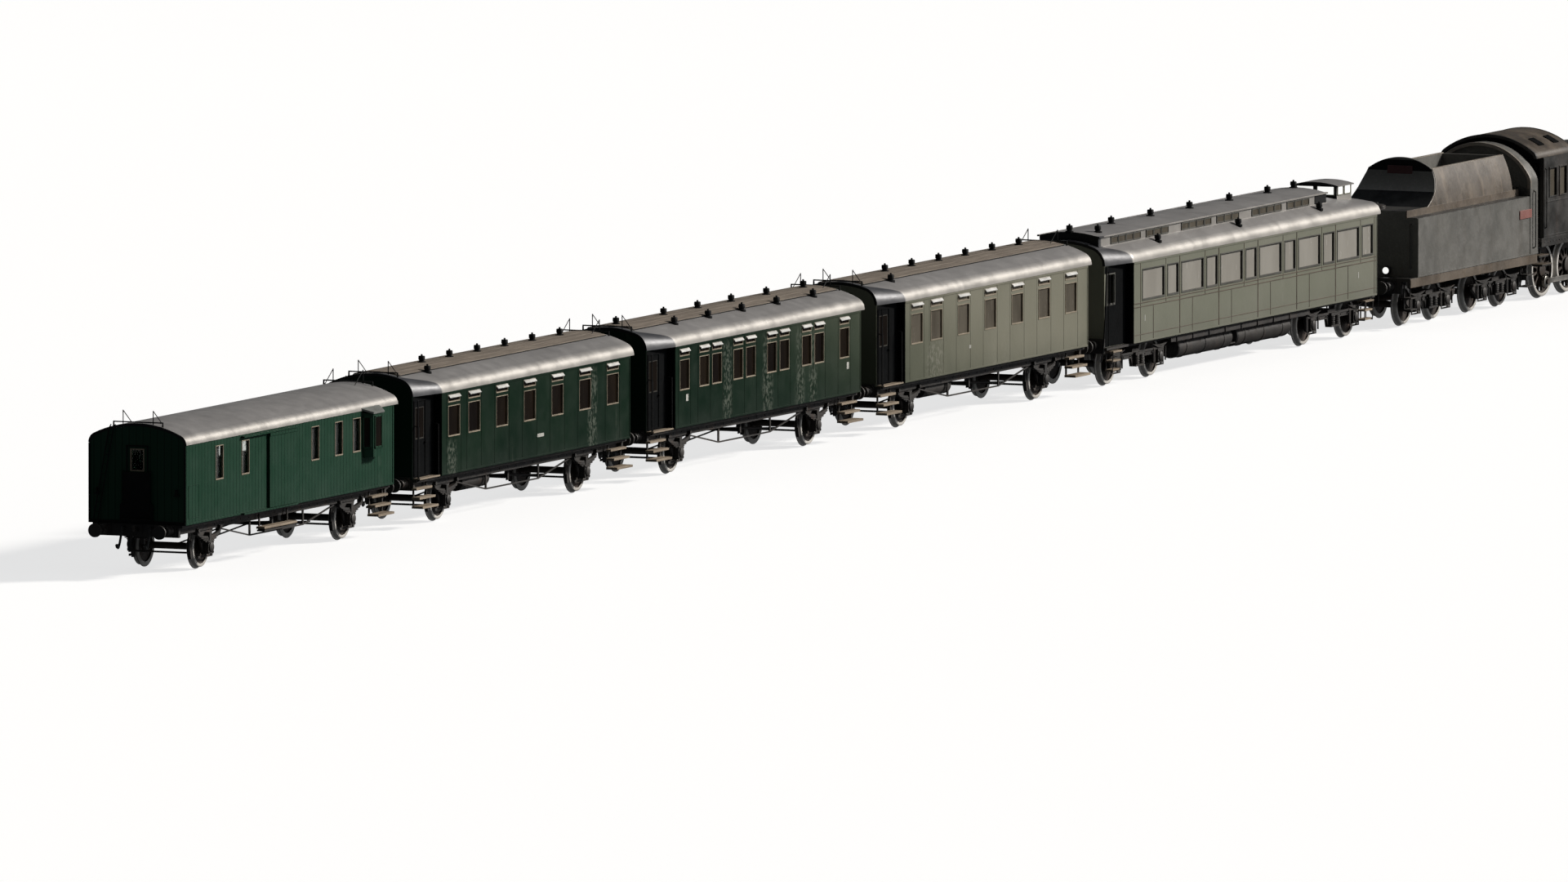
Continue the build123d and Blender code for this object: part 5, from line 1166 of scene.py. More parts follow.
def dress_saloon_underside(x0, x1):
    """Tank straps, steps, sole bar trim, buffers and hoses."""
    tanks = Shape()
    for start in (x0 + 57.7, x0 + 101.2):
        for x in (start + 5.5, start + 19.5, start + 33.5):
            tanks.turned([(3.3, -0.6), (3.46, -0.5), (3.46, 0.5), (3.3, 0.6)], (x, -8.6, 7.5), (1, 0, 0), 28)
        for x, out in ((start, -1), (start + 39.0, 1)):
            tanks.turned([(3.32, -0.1), (3.1, 0.35), (2.0, 0.8), (0.6, 0.95)], (x, -8.6, 7.5), (out, 0, 0),
                         28)
    tanks.make("saloon_tank_straps", "saloon", BLACK, "frame_black")

    steps = Shape()
    hangers = Shape()
    for end_x, inward in ((x0, 1), (x1, -1)):
        for side in (-1, 1):
            for rung in range(3):
                z = 11.0 - 2.7 * rung
                steps.box((end_x + inward * 1.5, end_x + inward * 8.0),
                          (side * 12.2, side * (14.9 - 0.3 * rung)), (z - 0.5, z))
            for x in (end_x + inward * 1.8, end_x + inward * 7.7):
                hanger = [(12.4, 12.3), (12.4, 5.1), (14.5, 5.1), (14.6, 10.6)]
                hangers.tube([(x, side * y, z) for y, z in hanger], 0.2, 8)
    steps.make("saloon_step_boards", "saloon", BOARD, "frame_black")
    hangers.make("saloon_step_hangers", "saloon", BLACK, "frame_black", 0.0)

    sole = Shape()
    for side in (-1, 1):
        sole.box((x0 + 47.0, x1 - 47.0), (side * 13.5, side * 13.7), (10.0, 11.3))
        for x in range(int(x0) + 52, int(x1) - 52, 12):
            sole.box((x - 0.3, x + 0.3), (side * 13.5, side * 14.0), (9.9, 11.4))
    headstocks = ((x0 - 1.2, -1), (x1 + 1.2, 1))
    for end_x, outward in headstocks:
        coupling_gear(sole, end_x, outward)
    sole.make("saloon_sole_trim", "saloon", BLACK, "frame_black")
    buffers = Shape()
    for end_x, outward in ((x0, -1), (x1, 1)):
        buffer_trim(buffers, end_x, outward)
    buffers.make("saloon_buffer_trim", "saloon", BLACK, "frame_black")
    brake_hoses("saloon", headstocks)


def dress_bogie(name, pivot, half, frame_y, frame_end):
    """Leaf springs, covers, stirrups and coils of one bogie."""
    gear = Shape()
    for side in (-1, 1):
        y = frame_y + 0.9
        for axle_x in (pivot - half, pivot + half):
            axlebox_cover(gear, axle_x, side, frame_y + 1.6)
            gear.window((axle_x - 3.4, axle_x + 3.4), (AXLE_Z - 2.7, AXLE_Z + 2.8), side * y,
                        side * (y + 0.25), 0.45)
            for level in range(3):
                reach = 5.6 - 1.3 * level
                top = [(axle_x + reach * t / 5,
                        AXLE_Z + 3.5 - 0.34 * level + 0.5 * (t / 5) ** 2) for t in range(-5, 6)]
                gear.side(top + [(u, v - 0.26) for u, v in reversed(top)], side * (y - 0.2), side * (y + 0.7))
            for x in (axle_x - 4.4, axle_x + 4.4):
                gear.tube([(x, side * (y + 0.3), AXLE_Z - 1.5), (x, side * (y + 0.3), AXLE_Z + 2.6)], 0.25, 8)
        for spring_x in (pivot - 1.8, pivot + 1.8):
            gear.coil((spring_x, side * (frame_y + 1.3), AXLE_Z - 0.95), 0.98, 0.17, 2.7, 5)
        reach = half + frame_end - 0.2
        gear.box((pivot - reach, pivot + reach), (side * y, side * (y + 0.3)), (AXLE_Z + 2.1, AXLE_Z + 2.75))
        for x in range(7):
            gear.turned([(0.2, 0), (0.2, 0.5), (0.1, 0.56)],
                        (pivot - half + x * half / 3, side * y, AXLE_Z + 1.6), (0, side, 0), 6)
    gear.make(f"{name}_gear", name, BLACK, "frame_black", 0.04)


def dress_wheels(node, body, x):
    """Tyres and hub trim of a carrying wheelset."""
    tyres(node, body, x, AXLE_Z, TREAD_R, RIM_R)
    disc_trim(node, body, x, AXLE_Z)


dress_van()
SEVEN_WINDOWS = dict(centres=(8.7, 23.0, 42.7, 62.4, 82.1, 101.8, 121.5), width=8.4,
                   vents=[35.0 + 19.6 * k for k in range(6)], near_vents=[20.6])
dress_coach("coach_1", COACHES[0], **SEVEN_WINDOWS, sash=PANE_DARK, trim_paint=COACH_GREEN,
            slot="coach_green", plates=((83.0, 19.6, 4.6, 1.0),))
dress_coach("coach_2", COACHES[1], (6.8, 20.9, 30.0, 45.3, 54.4, 69.6, 78.7, 94.8, 103.9, 122.1), 7.0,
            [7.0, 41.1, 65.5, 89.8, 115.2, 141.9], [30.2, 54.5, 78.8, 103.9, 130.3],
            PANE_DARK, COACH_GREEN, "coach_green", ((23.0, 21.5, 1.6, 2.0), (139.0, 21.5, 1.6, 2.0)))
dress_coach("coach_3", COACHES[2], **SEVEN_WINDOWS, sash=PANE_TAUPE_REFLECTION, trim_paint=SHEEN_GREY_GREEN, slot="grey_green",
            plates=((62.0, 20.4, 1.4, 1.0),))
dress_saloon()

# name, start, length, axles and height of the floor
FOUR_WHEELERS = [("van", VAN, VAN_LENGTH, VAN_AXLES, VAN_FLOOR)]
FOUR_WHEELERS += [(f"coach_{i}", x, COACH_LENGTH, COACH_AXLES, COACH_FLOOR) for i, x in enumerate(COACHES, 1)]
# name, start, pivots, half wheelbase, face and end of the bogies' side frames
ON_BOGIES = (("saloon", SALOON, SALOON_PIVOTS, SALOON_HALF_BASE, 11.0, 3.6),
             ("tender", TENDER, TENDER_PIVOTS, TENDER_HALF_BASE, 12.3, 7.0))
ENDS = ("rear", "front")
for vehicle, start, length, axles, floor_z in FOUR_WHEELERS:
    running_gear(vehicle, [start + x for x in axles], floor_z, start, start + length)
for vehicle, start, pivots, half, frame_y, frame_end in ON_BOGIES:
    for end, pivot in zip(ENDS, pivots):
        dress_bogie(f"{vehicle}_{end}_bogie", start + pivot, half, frame_y, frame_end)
for vehicle, start, _, axles, _ in FOUR_WHEELERS:
    for end, x in zip(ENDS, axles):
        dress_wheels(f"{vehicle}_{end}", f"{vehicle}_{end}_wheels", start + x)
for vehicle, start, pivots, half, _, _ in ON_BOGIES:
    for end, pivot in zip(ENDS, pivots):
        for number, x in ((1, start + pivot - half), (2, start + pivot + half)):
            dress_wheels(f"{vehicle}_{end}_{number}", f"{vehicle}_{end}_bogie_wheels_{number}", x)


# ---------------------------------------------------------------- tender
def bunker_y(z):
    """Half width of the bunker at a height: narrow at the top, upright at its foot."""
    share = (z - BUNKER_FOOT_Z) / (BUNKER_TOP_Z - BUNKER_FOOT_Z)
    return 13.1 - 0.75 * share - 2.25 * share * share


def sweep_x(z):
    """The bunker's rear plate at a height: it sweeps back towards its foot."""
    share = (z - BUNKER_FOOT_Z) / (BUNKER_TOP_Z - BUNKER_FOOT_Z)
    return TENDER + 20.1 + 11.0 * (1 - max(0.0, 1 - share) ** 2.2)


def raked(y, z, w):
    """A point on the rear plate, moved along the train by w."""
    return sweep_x(min(z, BUNKER_TOP_Z)) + w, y, z


def dress_bunker(front):
    """Side plates, rims and the swept rear plate of the coal bunker, and the rear blank plate."""
    heights = [BUNKER_FOOT_Z + (BUNKER_TOP_Z - BUNKER_FOOT_Z) * t / 12 for t in range(13)]
    sides = Shape()
    for lean in (-1, 1):
        verts = []
        for out in (0.12, -0.2):
            for z in heights:
                y = lean * (bunker_y(z) + out)
                verts += [(sweep_x(z) + 0.35, y, z), (front - 0.1, y, z)]
        n = 2 * len(heights)
        faces = []
        for k in range(0, n - 2, 2):
            faces += [[k, k + 1, k + 3, k + 2], [n + k + 2, n + k + 3, n + k + 1, n + k],
                      [k, k + 2, n + k + 2, n + k], [k + 3, k + 1, n + k + 1, n + k + 3]]
        faces += [[1, 0, n, n + 1], [n - 2, n - 1, 2 * n - 1, 2 * n - 2]]
        sides.add(verts, faces)
    sides.make("tender_bunker_sides", "tender", BUNKER, "engine_black", 0.0)
    rim = Shape()
    for lean in (-1, 1):
        rim.box((TENDER + 31.5, front), (lean * 9.1, lean * 10.2), (BUNKER_TOP_Z - 0.05, BUNKER_TOP_Z + 0.2))
        rim.tube([(sweep_x(z) + 0.2, lean * (bunker_y(z) + 0.1), z) for z in heights], 0.16, 8)
    rim.make("tender_bunker_rims", "tender", LEDGE_PALE, "engine_black")

    plate = Shape()
    crest = 3.3
    levels = heights + [BUNKER_TOP_Z + crest * k / 4 for k in range(1, 4)]
    verts = []
    for w in (-0.2, 0.3):
        for z in levels:
            above = (z - BUNKER_TOP_Z) / crest
            half = bunker_y(z) if above <= 0 else 10.1 * math.sqrt(1 - above)
            verts += [raked(half * t / 6, z, w) for t in range(-6, 7)]
    n = 13 * len(levels)
    faces = []
    for a in range(0, n - 13, 13):
        for k in range(a, a + 12):
            faces += [[k, k + 1, k + 14, k + 13], [n + k + 13, n + k + 14, n + k + 1, n + k]]
    for a in range(0, n - 13, 13):
        b = a + 12
        faces += [[a, a + 13, n + a + 13, n + a], [b + 13, b, n + b, n + b + 13]]
    for k in range(12):
        a = n - 13 + k
        faces += [[k + 1, k, n + k, n + k + 1], [a, a + 1, n + a + 1, n + a]]
    plate.add(verts, faces)
    plate.make("tender_rear_plate", "tender", DARK, "engine_black", 0.0)
    blank = Shape()
    blank.prism([(-4.0, 43.6), (4.0, 43.6), (4.0, 46.0), (-4.0, 46.0)], raked, -0.45, -0.1)
    blank.make("tender_rear_blank_plate", "tender", PLATE_RED, "engine_black", 0.08)


def dress_tender():
    """Everything that the tender wears, but for its bogies."""
    x0, x1 = TENDER, TENDER + TENDER_LENGTH
    tank_x = x0 + 5.2
    trim = Shape()
    trim.box((tank_x + 0.1, tank_x + 0.9), (-16.6, -16.84), (15.4, 32.6))
    trim.box((x1 - 6.0, x1 - 5.4), (-16.6, -16.84), (15.4, 36.4))
    trim.box((tank_x, x1), (-16.6, -16.8), (15.2, 15.6))
    trim.mirrored()
    trim.make("tender_side_trim", "tender", TANK, "engine_black", 0.03)
    ledge = Shape()
    ledge.box((tank_x - 0.1, x0 + 89.5), (-13.25, -12.9), (32.7, 34.9))
    ledge.mirrored()
    ledge.make("tender_ledge", "tender", LEDGE, "engine_black")
    deck = Shape()
    deck.box((tank_x + 0.1, x0 + 90.4), (-16.5, -13.1), (32.6, 32.85))
    deck.mirrored()
    deck.box((tank_x + 0.3, x0 + 20.6), (-12.8, 12.8), (34.5, 34.75))
    deck.make("tender_deck_plates", "tender", ENGINE, "engine_black", 0.03)
    valance = Shape()
    valance.box((x0 + 0.2, x1 - 0.2), (-16.3, -16.6), (12.4, 15.1))
    valance.mirrored()
    valance.make("tender_valance", "tender", LEDGE, "frame_black")

    dress_bunker(x0 + 85.0)
    blank = Shape()
    blank.box((x1 - 14.0, x1 - 5.0), (-16.6, -16.95), (26.4, 29.0))
    blank.mirrored()
    blank.make("tender_side_blank_plates", "tender", PLATE_PINK, "engine_black", 0.08)

    hood = Shape()
    outer = arch_points(HOOD_ARCH, 0.12) + [(16.79, 34.9), (-16.79, 34.9)]
    inner = arch_points(HOOD_ARCH, -0.9) + [(15.6, 34.9), (-15.6, 34.9)]
    hood.ring(outer, inner, across_ends, x0 + 90.4, x0 + 91.2)
    hood.make("tender_hood_rim", "tender", LEDGE_PALE, "engine_black", 0.08)
    fittings = Shape()
    fittings.box((x0 + 88.6, x0 + 90.4), (-12.6, 12.6), (34.6, 35.4))
    fittings.turned([(2.8, 34.5), (2.8, 35.5), (2.3, 35.8), (0.6, 35.9), (0.6, 36.4)], (x0 + 13.0, 0, 0),
                    (0, 0, 1), 24)
    fittings.tube([(x0 + 1.0, -5.8, 5.6), (x0 + 1.0, -5.8, 16.0), (tank_x - 1.0, -3.2, 24.6)], 0.14, 8)
    for y in (3.2, 5.8):
        ladder = [(-0.8, 14.6), (-0.8, 35.8), (1.6, 36.2), (2.4, 34.4)]
        fittings.tube([(tank_x + u, y, z) for u, z in ladder], 0.2, 8)
    for step in range(7):
        z = 17.0 + 2.6 * step
        fittings.tube([(tank_x - 0.8, 3.2, z), (tank_x - 0.8, 5.8, z)], 0.16, 6)
    for y in (-14.6, 14.6):
        fittings.tube([(tank_x, y, 31.0), (tank_x - 0.8, y, 31.0), (tank_x - 0.8, y, 18.0),
                       (tank_x, y, 18.0)], 0.2, 8)
        rail = [(1.13, 17.0), (1.19, 17.6), (1.19, 33.8), (1.13, 34.4)]
        fittings.tube([(x1 - 3.2, y * share, z) for share, z in rail], 0.2, 8)
    fittings.make("tender_fittings", "tender", ENGINE, "engine_black", 0.04)
    lamps = Shape()
    glass = Shape()
    z = 17.1
    for y in (-7.06, 7.06):
        lamps.turned([(1.3, -0.1), (1.3, 1.4), (1.05, 1.5)], (tank_x - 0.2, y, z), (-1, 0, 0), 20)
        lamps.box((tank_x - 1.4, tank_x), (y - 0.3, y + 0.3), (z - 2.0, z - 1.0))
        glass.turned([(0.98, 1.45), (0.98, 1.6), (0.6, 1.78), (0.2, 1.84)], (tank_x - 0.2, y, z), (-1, 0, 0),
                     20)
    lamps.make("tender_lamps", "tender", ENGINE, "engine_black")
    glass.make("tender_lamp_glasses", "tender", GLOW_GLASS, "clear_glazing", 0.0)
    ends = Shape()
    buffer_trim(ends, x0, -1)
    coupling_gear(ends, x0, -1)
    for side in (-1, 1):
        for x in (x0 + 3.2, x1 - 5.0):
            for z in (9.4, 6.0):
                ends.box((x - 2.4, x + 2.4), (side * 13.6, side * 16.4), (z - 0.4, z))
            for dx in (-2.2, 2.2):
                ends.box((x + dx - 0.2, x + dx + 0.2), (side * 13.9, side * 14.3), (5.6, 13.9))
    ends.make("tender_end_fittings", "tender", BLACK, "frame_black")
    brake_hoses("tender", [(x0, -1)], 0.8)


# ---------------------------------------------------------------- locomotive
def dress_boiler(x0):
    """Boiler bands, smokebox rivets, domes and chimney, smokebox door and pipes."""
    bands = Shape()
    circle = [360 * i / 64 for i in range(64)]
    for x in (x0 + 33.5, x0 + 44.5, x0 + 51.0, x0 + 63.0):
        bands.ring(arc((0.0, BOILER_Z), 9.78, circle), arc((0.0, BOILER_Z), 9.5, circle), across_ends,
                   x - 0.45, x + 0.45)
    for k in range(40):
        a = 2 * math.pi * k / 40
        for x in (x0 + 67.6, x0 + 81.9):
            bands.turned([(0.2, -0.1), (0.2, 0.1), (0.1, 0.18)],
                         (x, 10.1 * math.sin(a), BOILER_Z + 10.1 * math.cos(a)), (0, math.sin(a),
                                                                                  math.cos(a)), 6)
    bands.make("loco_boiler_bands", "loco", ENGINE, "engine_black", 0.03)

    domes = Shape()
    steam_dome = [(4.9, 0.0), (4.3, 0.6), (4.05, 1.4), (4.05, 3.8), (3.7, 4.7), (2.8, 5.4), (1.4, 5.75),
                  (0.3, 5.8)]
    sand_dome = [(4.2, 0.0), (3.65, 0.6), (3.45, 1.4), (3.45, 2.9), (3.0, 3.8), (2.0, 4.4), (0.3, 4.6)]
    chimney = [(3.6, -0.6), (2.9, 0.2), (2.55, 1.2), (2.55, 9.0), (2.95, 9.4), (3.0, 10.6), (2.7, 11.0),
               (1.9, 11.05), (1.9, 9.6)]
    for profile, x, z in ((steam_dome, 58.0, 38.0), (sand_dome, 40.0, 38.0), (chimney, 75.0, 38.9)):
        domes.turned(profile, (x0 + x, 0, z), (0, 0, 1), 40)
    for y in (-1.6, 1.6):
        domes.turned([(1.2, 0.0), (1.2, 0.8), (0.86, 1.0), (0.86, 3.4), (0.5, 4.2), (0.3, 4.5)],
                     (x0 + 29.0, y, 38.3), (0, 0, 1), 18)
    domes.make("loco_domes_and_chimney", "loco", ENGINE, "engine_black", 0.0)

    door = Shape()
    front = x0 + 83.6
    door.turned([(8.1, -0.3), (8.1, 0.15), (7.7, 0.3), (6.4, 0.95), (4.2, 1.5), (1.6, 1.8), (0.5, 1.85)],
                (front, 0, BOILER_Z), (1, 0, 0), 48)
    door.turned([(0.6, 1.7), (0.6, 2.6), (0.35, 2.8)], (front, 0, BOILER_Z), (1, 0, 0), 16)
    for a in (0.5, 2.3):
        door.tube([(front + 2.5, 0, BOILER_Z),
                   (front + 2.5, 2.2 * math.cos(a), BOILER_Z + 2.2 * math.sin(a))], 0.18, 8)
    for z in (26.4, 32.4):
        door.box((front + 0.2, front + 1.5), (-8.0, -1.0), (z - 0.35, z + 0.35))
    door.turned([(0.4, -3.8), (0.4, 3.8)], (front + 0.5, -8.2, BOILER_Z), (0, 0, 1), 12)
    for k in range(12):
        a = 2 * math.pi * (k + 0.5) / 12
        door.box((front - 0.2, front + 0.7), (8.0 * math.cos(a) - 0.4, 8.0 * math.cos(a) + 0.4),
                 (BOILER_Z + 8.0 * math.sin(a) - 0.4, BOILER_Z + 8.0 * math.sin(a) + 0.4))
    door.make("loco_smokebox_door", "loco", ENGINE, "engine_black", 0.05)

    rails = Shape()
    for side in (-1, 1):
        y = side * 10.6
        rails.tube([(x0 + 25.0, y, 34.6), (x0 + 82.5, y, 34.6)], 0.22, 8)
        for x in (x0 + 27.0, x0 + 41.0, x0 + 55.0, x0 + 69.0, x0 + 81.0):
            rails.turned([(0.36, 0.0), (0.22, 0.4), (0.22, 2.0)], (x, y + side * 0.1, 34.6),
                         (0, -side, -0.15), 10)
        for x in (x0 + 3.2, x0 + 22.6):
            rails.tube([(x, side * v, z) for v,
                        z in ((15.3, 40.0), (16.1, 39.6), (16.1, 22.4), (15.3, 22.0))], 0.2, 8)
        feed = [(29.5, 6.8, 36.2), (36.0, 7.6, 36.2), (46.0, 9.1, 33.4), (60.0, 9.9, 31.0)]
        drain = [(25.0, 9.8, 23.5), (40.0, 9.9, 23.0), (62.0, 9.9, 22.6), (66.0, 10.2, 26.0)]
        sanders = [[(x, 3.6, 40.0), (x + 0.4, 8.0, 36.8), (x + 0.6, 9.9, 30.0), (x + 0.8, 9.9, 20.0)]
                   for x in (52.0, 64.0)]
        for route, radius in ((feed, 0.35), (drain, 0.4), (sanders[0], 0.3), (sanders[1], 0.3)):
            rails.curve([(x0 + u, side * v, z) for u, v, z in route], radius, 8)
    rails.make("loco_handrails_and_pipes", "loco", ENGINE, "engine_black", 0.0)


def dress_running_board(x0):
    """Valance, tool boxes, reservoirs, rivets and steps along the running board."""
    deck = Shape()
    for side in (-1, 1):
        deck.box((x0 + 0.2, x0 + 89.8), (side * 15.3, side * 15.75), (16.6, 19.2))
        deck.box((x0 + 26.0, x0 + 36.0), (side * 11.6, side * 15.0), (19.1, 23.4))
        deck.box((x0 + 25.6, x0 + 36.4), (side * 11.3, side * 15.2), (23.4, 23.9))
        deck.turned([(0.8, 0.0), (0.8, 0.5)], (x0 + 31.0, side * 15.0, 21.4), (0, side, 0), 12)
        deck.box((x0 + 58.0, x0 + 66.0), (side * 12.4, side * 15.0), (19.1, 21.6))
        deck.turned([(1.6, 0.0), (1.6, 9.0), (1.2, 9.6)], (x0 + 46.0, side * 12.4, 20.9), (1, 0, 0), 20)
        for x in (x0 + 46.0, x0 + 56.0):
            deck.turned([(1.72, 0.0), (1.72, 0.5)], (x - 0.2, side * 12.4, 20.9), (1, 0, 0), 20)
        for k in range(40):
            deck.turned([(0.17, 0.0), (0.17, 0.18), (0.08, 0.24)],
                        (x0 + 2.5 + 2.2 * k, side * 15.72, 17.9), (0, side, 0), 6)
    deck.box((x0 + 88.6, x0 + 90.3), (-15.5, 15.5), (17.9, 18.5))
    deck.box((x0 + 83.0, x0 + 88.4), (-4.6, 4.6), (19.1, 19.7))
    deck.make("loco_running_board_trim", "loco", ENGINE, "engine_black")

    treads = Shape()
    for side in (-1, 1):
        for rung in range(3):
            z = 16.45 - 2.6 * rung
            treads.box((x0 + 0.1, x0 + 7.5), (side * 12.5, side * (14.0 + rung)), (z, z + 0.25))
    treads.make("loco_step_treads", "loco", LEDGE, "frame_black", 0.04)


def dress_cab(x0):
    """Windows, trim, roof, hatches and backhead of the cab."""
    cab = Shape()
    for side in (-1, 1):
        for x in (x0 + 9.4, x0 + 17.0):
            cab.window((x - 2.9, x + 2.9), (31.0, 40.0), side * 15.3, side * 15.65, 0.4)
        cab.box((x0 + 2.2, x0 + 2.9), (side * 14.3, side * 15.6), (19.2, 43.0))
        cab.box((x0 + 2.4, x0 + 23.9), (side * 15.3, side * 15.55), (19.2, 19.9))
        cab.box((x0 + 2.4, x0 + 23.9), (side * 15.3, side * 15.55), (29.6, 30.0))
    for a in (x0 - 3.4, x0 + 24.2):
        cab.ring(arch_points(CAB_ARCH, 0.16), arch_points(CAB_ARCH, -0.7), across_ends, a, a + 0.7)
    cab.make("loco_cab_trim", "loco", ENGINE, "engine_black", 0.05)
    hatches = Shape()
    for x in (x0 + 7.2, x0 + 18.2):
        for y in (-11.0, 11.0):
            low, high = y * 1.16, y * 0.84
            corners = [(x - 2.0, low), (x + 2.0, low), (x + 2.0, high), (x - 2.0, high)]
            hatches.slab([(u, v, arch_z(CAB_ARCH, v) + 0.4) for u, v in corners],
                         [(u, v, arch_z(CAB_ARCH, v) - 0.2) for u, v in corners])
    # The hatches take the near black that elsewhere stands for painted recess shade.
    hatches.make("loco_cab_roof_hatches", "loco", RECESS_SHADE_BLACK, "engine_black")
    roof = Shape()
    roof.cross(arch_points(CAB_ARCH, 0.08) + arch_points(CAB_ARCH, -0.3)[::-1], x0 - 2.8, x0 + 24.3)
    roof.make("loco_cab_roof_skin", "loco", CAB_ROOF, "engine_black", 0.0)
    glass = Shape()
    for side in (-1, 1):
        for x in (x0 + 9.4, x0 + 17.0):
            glass.box((x - 2.75, x + 2.75), (side * 14.8, side * 15.0), (31.2, 39.8))
    glass.make("loco_cab_panes", "loco", PANE_TAUPE_REFLECTION, "clear_glazing", 0.0)
    back = Shape()
    bx = x0 + 22.8
    back.turned([(8.0, -0.2), (8.0, -1.4), (7.6, -1.6)], (bx, 0, 30.4), (1, 0, 0), 36)
    back.turned([(2.4, -0.1), (2.4, -0.5), (2.0, -0.7)], (bx - 1.5, 0, 26.4), (1, 0, 0), 24)
    for y, z in ((-4.0, 38.4), (0.0, 39.6), (4.0, 38.4)):
        back.turned([(1.1, 0.1), (1.1, -0.8), (0.95, -0.9)], (bx - 0.3, y, z), (1, 0, 0), 18)
    back.tube([(bx - 2.0, -5.6, 33.6), (bx - 2.6, 4.6, 35.4)], 0.26, 8)
    for y in (-3.4, 3.4):
        back.turned([(0.42, 0.0), (0.42, 4.2)], (bx - 1.9, y, 31.0), (0, 0, 1), 10)
    back.box((x0 + 4.0, x0 + 22.5), (-14.2, 14.2), (19.1, 19.7))
    for y in (-11.0, 11.0):
        back.box((x0 + 7.0, x0 + 12.0), (y - 2.2, y + 2.2), (24.4, 25.4))
        back.box((x0 + 9.0, x0 + 10.0), (y - 0.5, y + 0.5), (19.6, 24.5))
    back.make("loco_backhead", "loco", ENGINE, "engine_black", 0.05)


def dress_front(x0):
    """Lamps, buffers, guard irons, front steps and hoses."""
    lamps = Shape()
    glass = Shape()
    for x, y, z in ((x0 + 86.6, -9.6, 21.6), (x0 + 86.6, 9.6, 21.6), (x0 + 80.6, 0.0, 41.6)):
        lamps.turned([(1.5, -1.6), (1.75, -1.0), (1.75, 1.2), (1.5, 1.4)], (x, y, z), (1, 0, 0), 24)
        lamps.turned([(0.5, 1.5), (0.5, 2.2), (0.8, 2.3), (0.3, 2.7)], (x, y, z), (0, 0, 1), 12)
        lamps.box((x - 0.6, x + 0.6), (y - 0.5, y + 0.5), (z - 3.0, z - 1.3))
        glass.turned([(1.35, 1.3), (1.35, 1.5), (0.9, 1.75), (0.2, 1.85)], (x, y, z), (1, 0, 0), 24)
    lamps.make("loco_lamps", "loco", ENGINE, "engine_black", 0.04)
    glass.make("loco_lamp_glasses", "loco", GLOW_GLASS, "clear_glazing", 0.0)
    ends = Shape()
    buffer_trim(ends, x0 + 90.0, 1)
    coupling_gear(ends, x0 + 90.0, 1)
    ends.box((x0 + 88.6, x0 + 90.25), (-15.4, 15.4), (10.5, 10.9))
    for side in (-1, 1):
        ends.box((x0 + 86.6, x0 + 87.2), (side * 7.6, side * 8.6), (3.4, 10.6))
        for z in (14.0, 9.8):
            ends.box((x0 + 82.6, x0 + 86.8), (side * 12.8, side * 15.4), (z - 0.4, z))
        for dx in (82.8, 86.4):
            ends.box((x0 + dx, x0 + dx + 0.4), (side * 13.2, side * 13.6), (9.4, 18.2))
    ends.make("loco_front_fittings", "loco", BLACK, "frame_black")
    brake_hoses("loco", [(x0 + 90.0, 1)])


def dress_drivers(x0):
    """Springs, sand pipes, tyres, balance weights and rod trim of the driving wheels."""
    gear = Shape()
    for axle in DRIVER_AXLES:
        for side in (-1, 1):
            x = x0 + axle
            for end in (-1, 1):
                gear.tube([(x + end * 9.7, side * 7.0, 8.4), (x + end * 9.7, side * 7.0, 17.6)], 0.35, 8)
            for level in range(4):
                reach = 5.6 - 1.1 * level
                top = [(x + reach * t / 5, 13.2 + 0.34 * level + 0.5 * (t / 5) ** 2) for t in range(-5, 6)]
                gear.side([(u, v + 0.26) for u, v in top] + top[::-1], side * 6.35, side * 7.2)
            gear.box((x - 1.9, x + 1.9), (side * 6.3, side * 7.1), (6.4, 11.0))
    for side in (-1, 1):
        route = [(44.0, 10.6, 18.0), (44.0, 9.2, 14.0), (43.9, 8.7, 8.0), (44.2, 8.6, 3.0)]
        gear.curve([(x0 + u, side * v, z) for u, v, z in route], 0.3, 8)
    gear.make("loco_springs_and_sanding", "loco", BLACK, "frame_black", 0.04)
    for number, axle in enumerate(DRIVER_AXLES, start=1):
        x = x0 + axle
        body = f"driver_{number}"
        tyres(body, body, x, DRIVER_Z, 8.05, 7.1)
        weights = Shape()
        for side, angle in ((-1, 90), (1, 180)):
            rim = arc((x, DRIVER_Z), 7.0, range(angle - 34, angle + 35, 4))
            chord = arc((x, DRIVER_Z), 5.0, range(angle + 34, angle - 35, -17))
            weights.side(rim + chord, side * 8.3, side * 9.25)
        for side in (-1, 1):
            weights.turned([(2.2, 9.4), (2.2, 9.62), (1.9, 9.7), (0.7, 9.8)], (x, 0, DRIVER_Z), (0, side, 0),
                           28)
        weights.make(f"{body}_weights", body, WHEEL, "wheel_steel", 0.05)
    y = 10.7
    for name, side, (dx, dz) in (("near", -1, (0, -3.6)), ("far", 1, (3.6, 0))):
        rod = Shape()
        pins = [x0 + axle + dx for axle in DRIVER_AXLES]
        z = DRIVER_Z + dz
        for x in pins:
            rod.turned([(1.72, -0.05), (1.72, 0.22), (1.5, 0.34), (0.86, 0.34)], (x, side * y, z),
                       (0, side, 0), 24)
            rod.box((x - 0.5, x + 0.5), (side * (y - 0.6), side * (y - 0.1)), (z + 1.4, z + 2.2))
        for a, b in zip(pins, pins[1:]):
            for low in (0.42, -0.74):
                rod.box((a + 2.4, b - 2.4), (side * (y - 0.02), side * (y + 0.1)), (z + low, z + low + 0.32))
        rod.make(f"{name}_rod_trim", f"{name}_rod", ROD, "rod_steel", 0.04)
    tyres("pilot", "pilot_wheels", x0 + PILOT_AXLE, PILOT_Z, 4.9, 4.05)


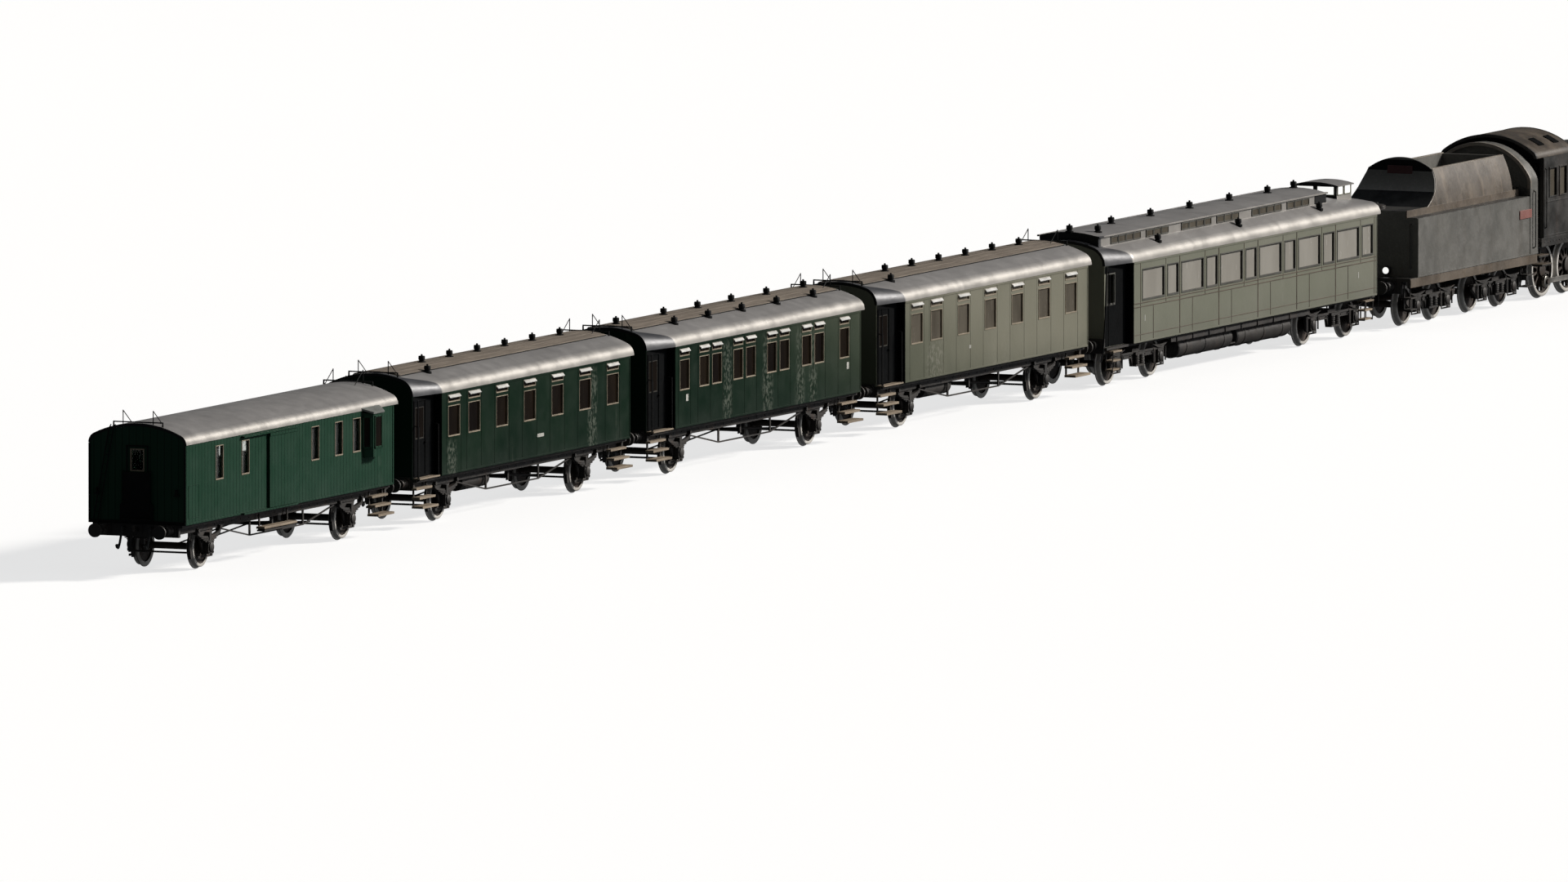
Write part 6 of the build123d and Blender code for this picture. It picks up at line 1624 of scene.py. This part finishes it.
dress_tender()
for dress_part in (dress_boiler, dress_running_board, dress_cab, dress_front, dress_drivers):
    dress_part(LOCO)


# ---------------------------------------------------------------- floor, light and camera
def stage_floor():
    """A bright floor that lights neither the train nor its reflections."""
    mesh = bpy.data.meshes.new("floor")
    reach, z = 30.0, -0.0002
    mesh.from_pydata([(x, y, z) for x,
                      y in ((-reach, -reach), (reach, -reach), (reach, reach), (-reach, reach))],
                     [], [[0, 1, 2, 3]])
    floor = bpy.data.objects.new("floor", mesh)
    bpy.context.scene.collection.objects.link(floor)
    s = Surface("floor paper")
    colour = s.blend(s.noise(900.0), (0.37, 0.37, 0.37), (0.39, 0.39, 0.385))
    s.finish(colour, s.spread(s.noise(40.0), 0.2, 0.8, 0.8, 0.95), Specular_IOR_Level=0.0,
             Emission_Color=(1.0, 1.0, 1.0, 1.0), Emission_Strength=0.72)
    mesh.materials.append(s.material)
    floor.visible_diffuse = False
    floor.visible_glossy = False


def sun(name, towards, power, colour, angle):
    """A sun in a direction from the train; angle is its size in degrees."""
    light = bpy.data.lights.new(name, "SUN")
    light.energy = power
    light.color = colour
    light.angle = math.radians(angle)
    obj = bpy.data.objects.new(name, light)
    bpy.context.scene.collection.objects.link(obj)
    obj.rotation_mode = "QUATERNION"
    obj.rotation_quaternion = (-Vector(towards)).to_track_quat("-Z", "Y")


stage_floor()
sun("key", (0.60, -0.645, 0.469), 4.0, (1.0, 0.955, 0.9), 9)
sun("fill", (0.25, -0.95, 0.12), 0.5, (0.94, 0.96, 1.0), 50)
sun("back", (0.35, 0.75, 0.9), 0.3, (0.9, 0.95, 1.0), 60)

world = bpy.data.worlds.new("studio")
bpy.context.scene.world = world
world.use_nodes = True
nodes = world.node_tree.nodes
background = nodes["Background"]
background.inputs["Color"].default_value = (0.9, 0.95, 1.0, 1.0)
background.inputs["Strength"].default_value = 0.06
backdrop = nodes.new("ShaderNodeBackground")
backdrop.inputs["Color"].default_value = (0.96, 0.96, 0.96, 1.0)
path = nodes.new("ShaderNodeLightPath")
choice = nodes.new("ShaderNodeMixShader")
world.node_tree.links.new(path.outputs["Is Camera Ray"], choice.inputs[0])
world.node_tree.links.new(background.outputs[0], choice.inputs[1])
world.node_tree.links.new(backdrop.outputs[0], choice.inputs[2])
world.node_tree.links.new(choice.outputs[0], nodes["World Output"].inputs["Surface"])

scene = bpy.context.scene
scene.view_settings.view_transform = "Standard"
scene.view_settings.look = "None"
LENS = 965.0
SENSOR_HEIGHT = 12.27
FRAMING = 0.4556 * 9 / 16
AZIMUTH = math.radians(293.69)
ELEVATION = math.radians(5.07)
AIM = Vector((-0.10995, -0.0138, 0.0039))
camera = bpy.data.cameras.new("camera")
camera.lens = LENS
camera.sensor_width = 36.0
camera.sensor_fit = "VERTICAL"
camera.sensor_height = SENSOR_HEIGHT
camera.clip_start = 0.5
camera.clip_end = 60.0
camera_obj = bpy.data.objects.new("camera", camera)
scene.collection.objects.link(camera_obj)
back = Vector((math.sin(AZIMUTH) * math.cos(ELEVATION), -math.cos(AZIMUTH) * math.cos(ELEVATION),
               math.sin(ELEVATION)))
camera_obj.location = AIM + back * (FRAMING * LENS / SENSOR_HEIGHT)
camera_obj.rotation_mode = "QUATERNION"
camera_obj.rotation_quaternion = (-back).to_track_quat("-Z", "Y")
scene.camera = camera_obj
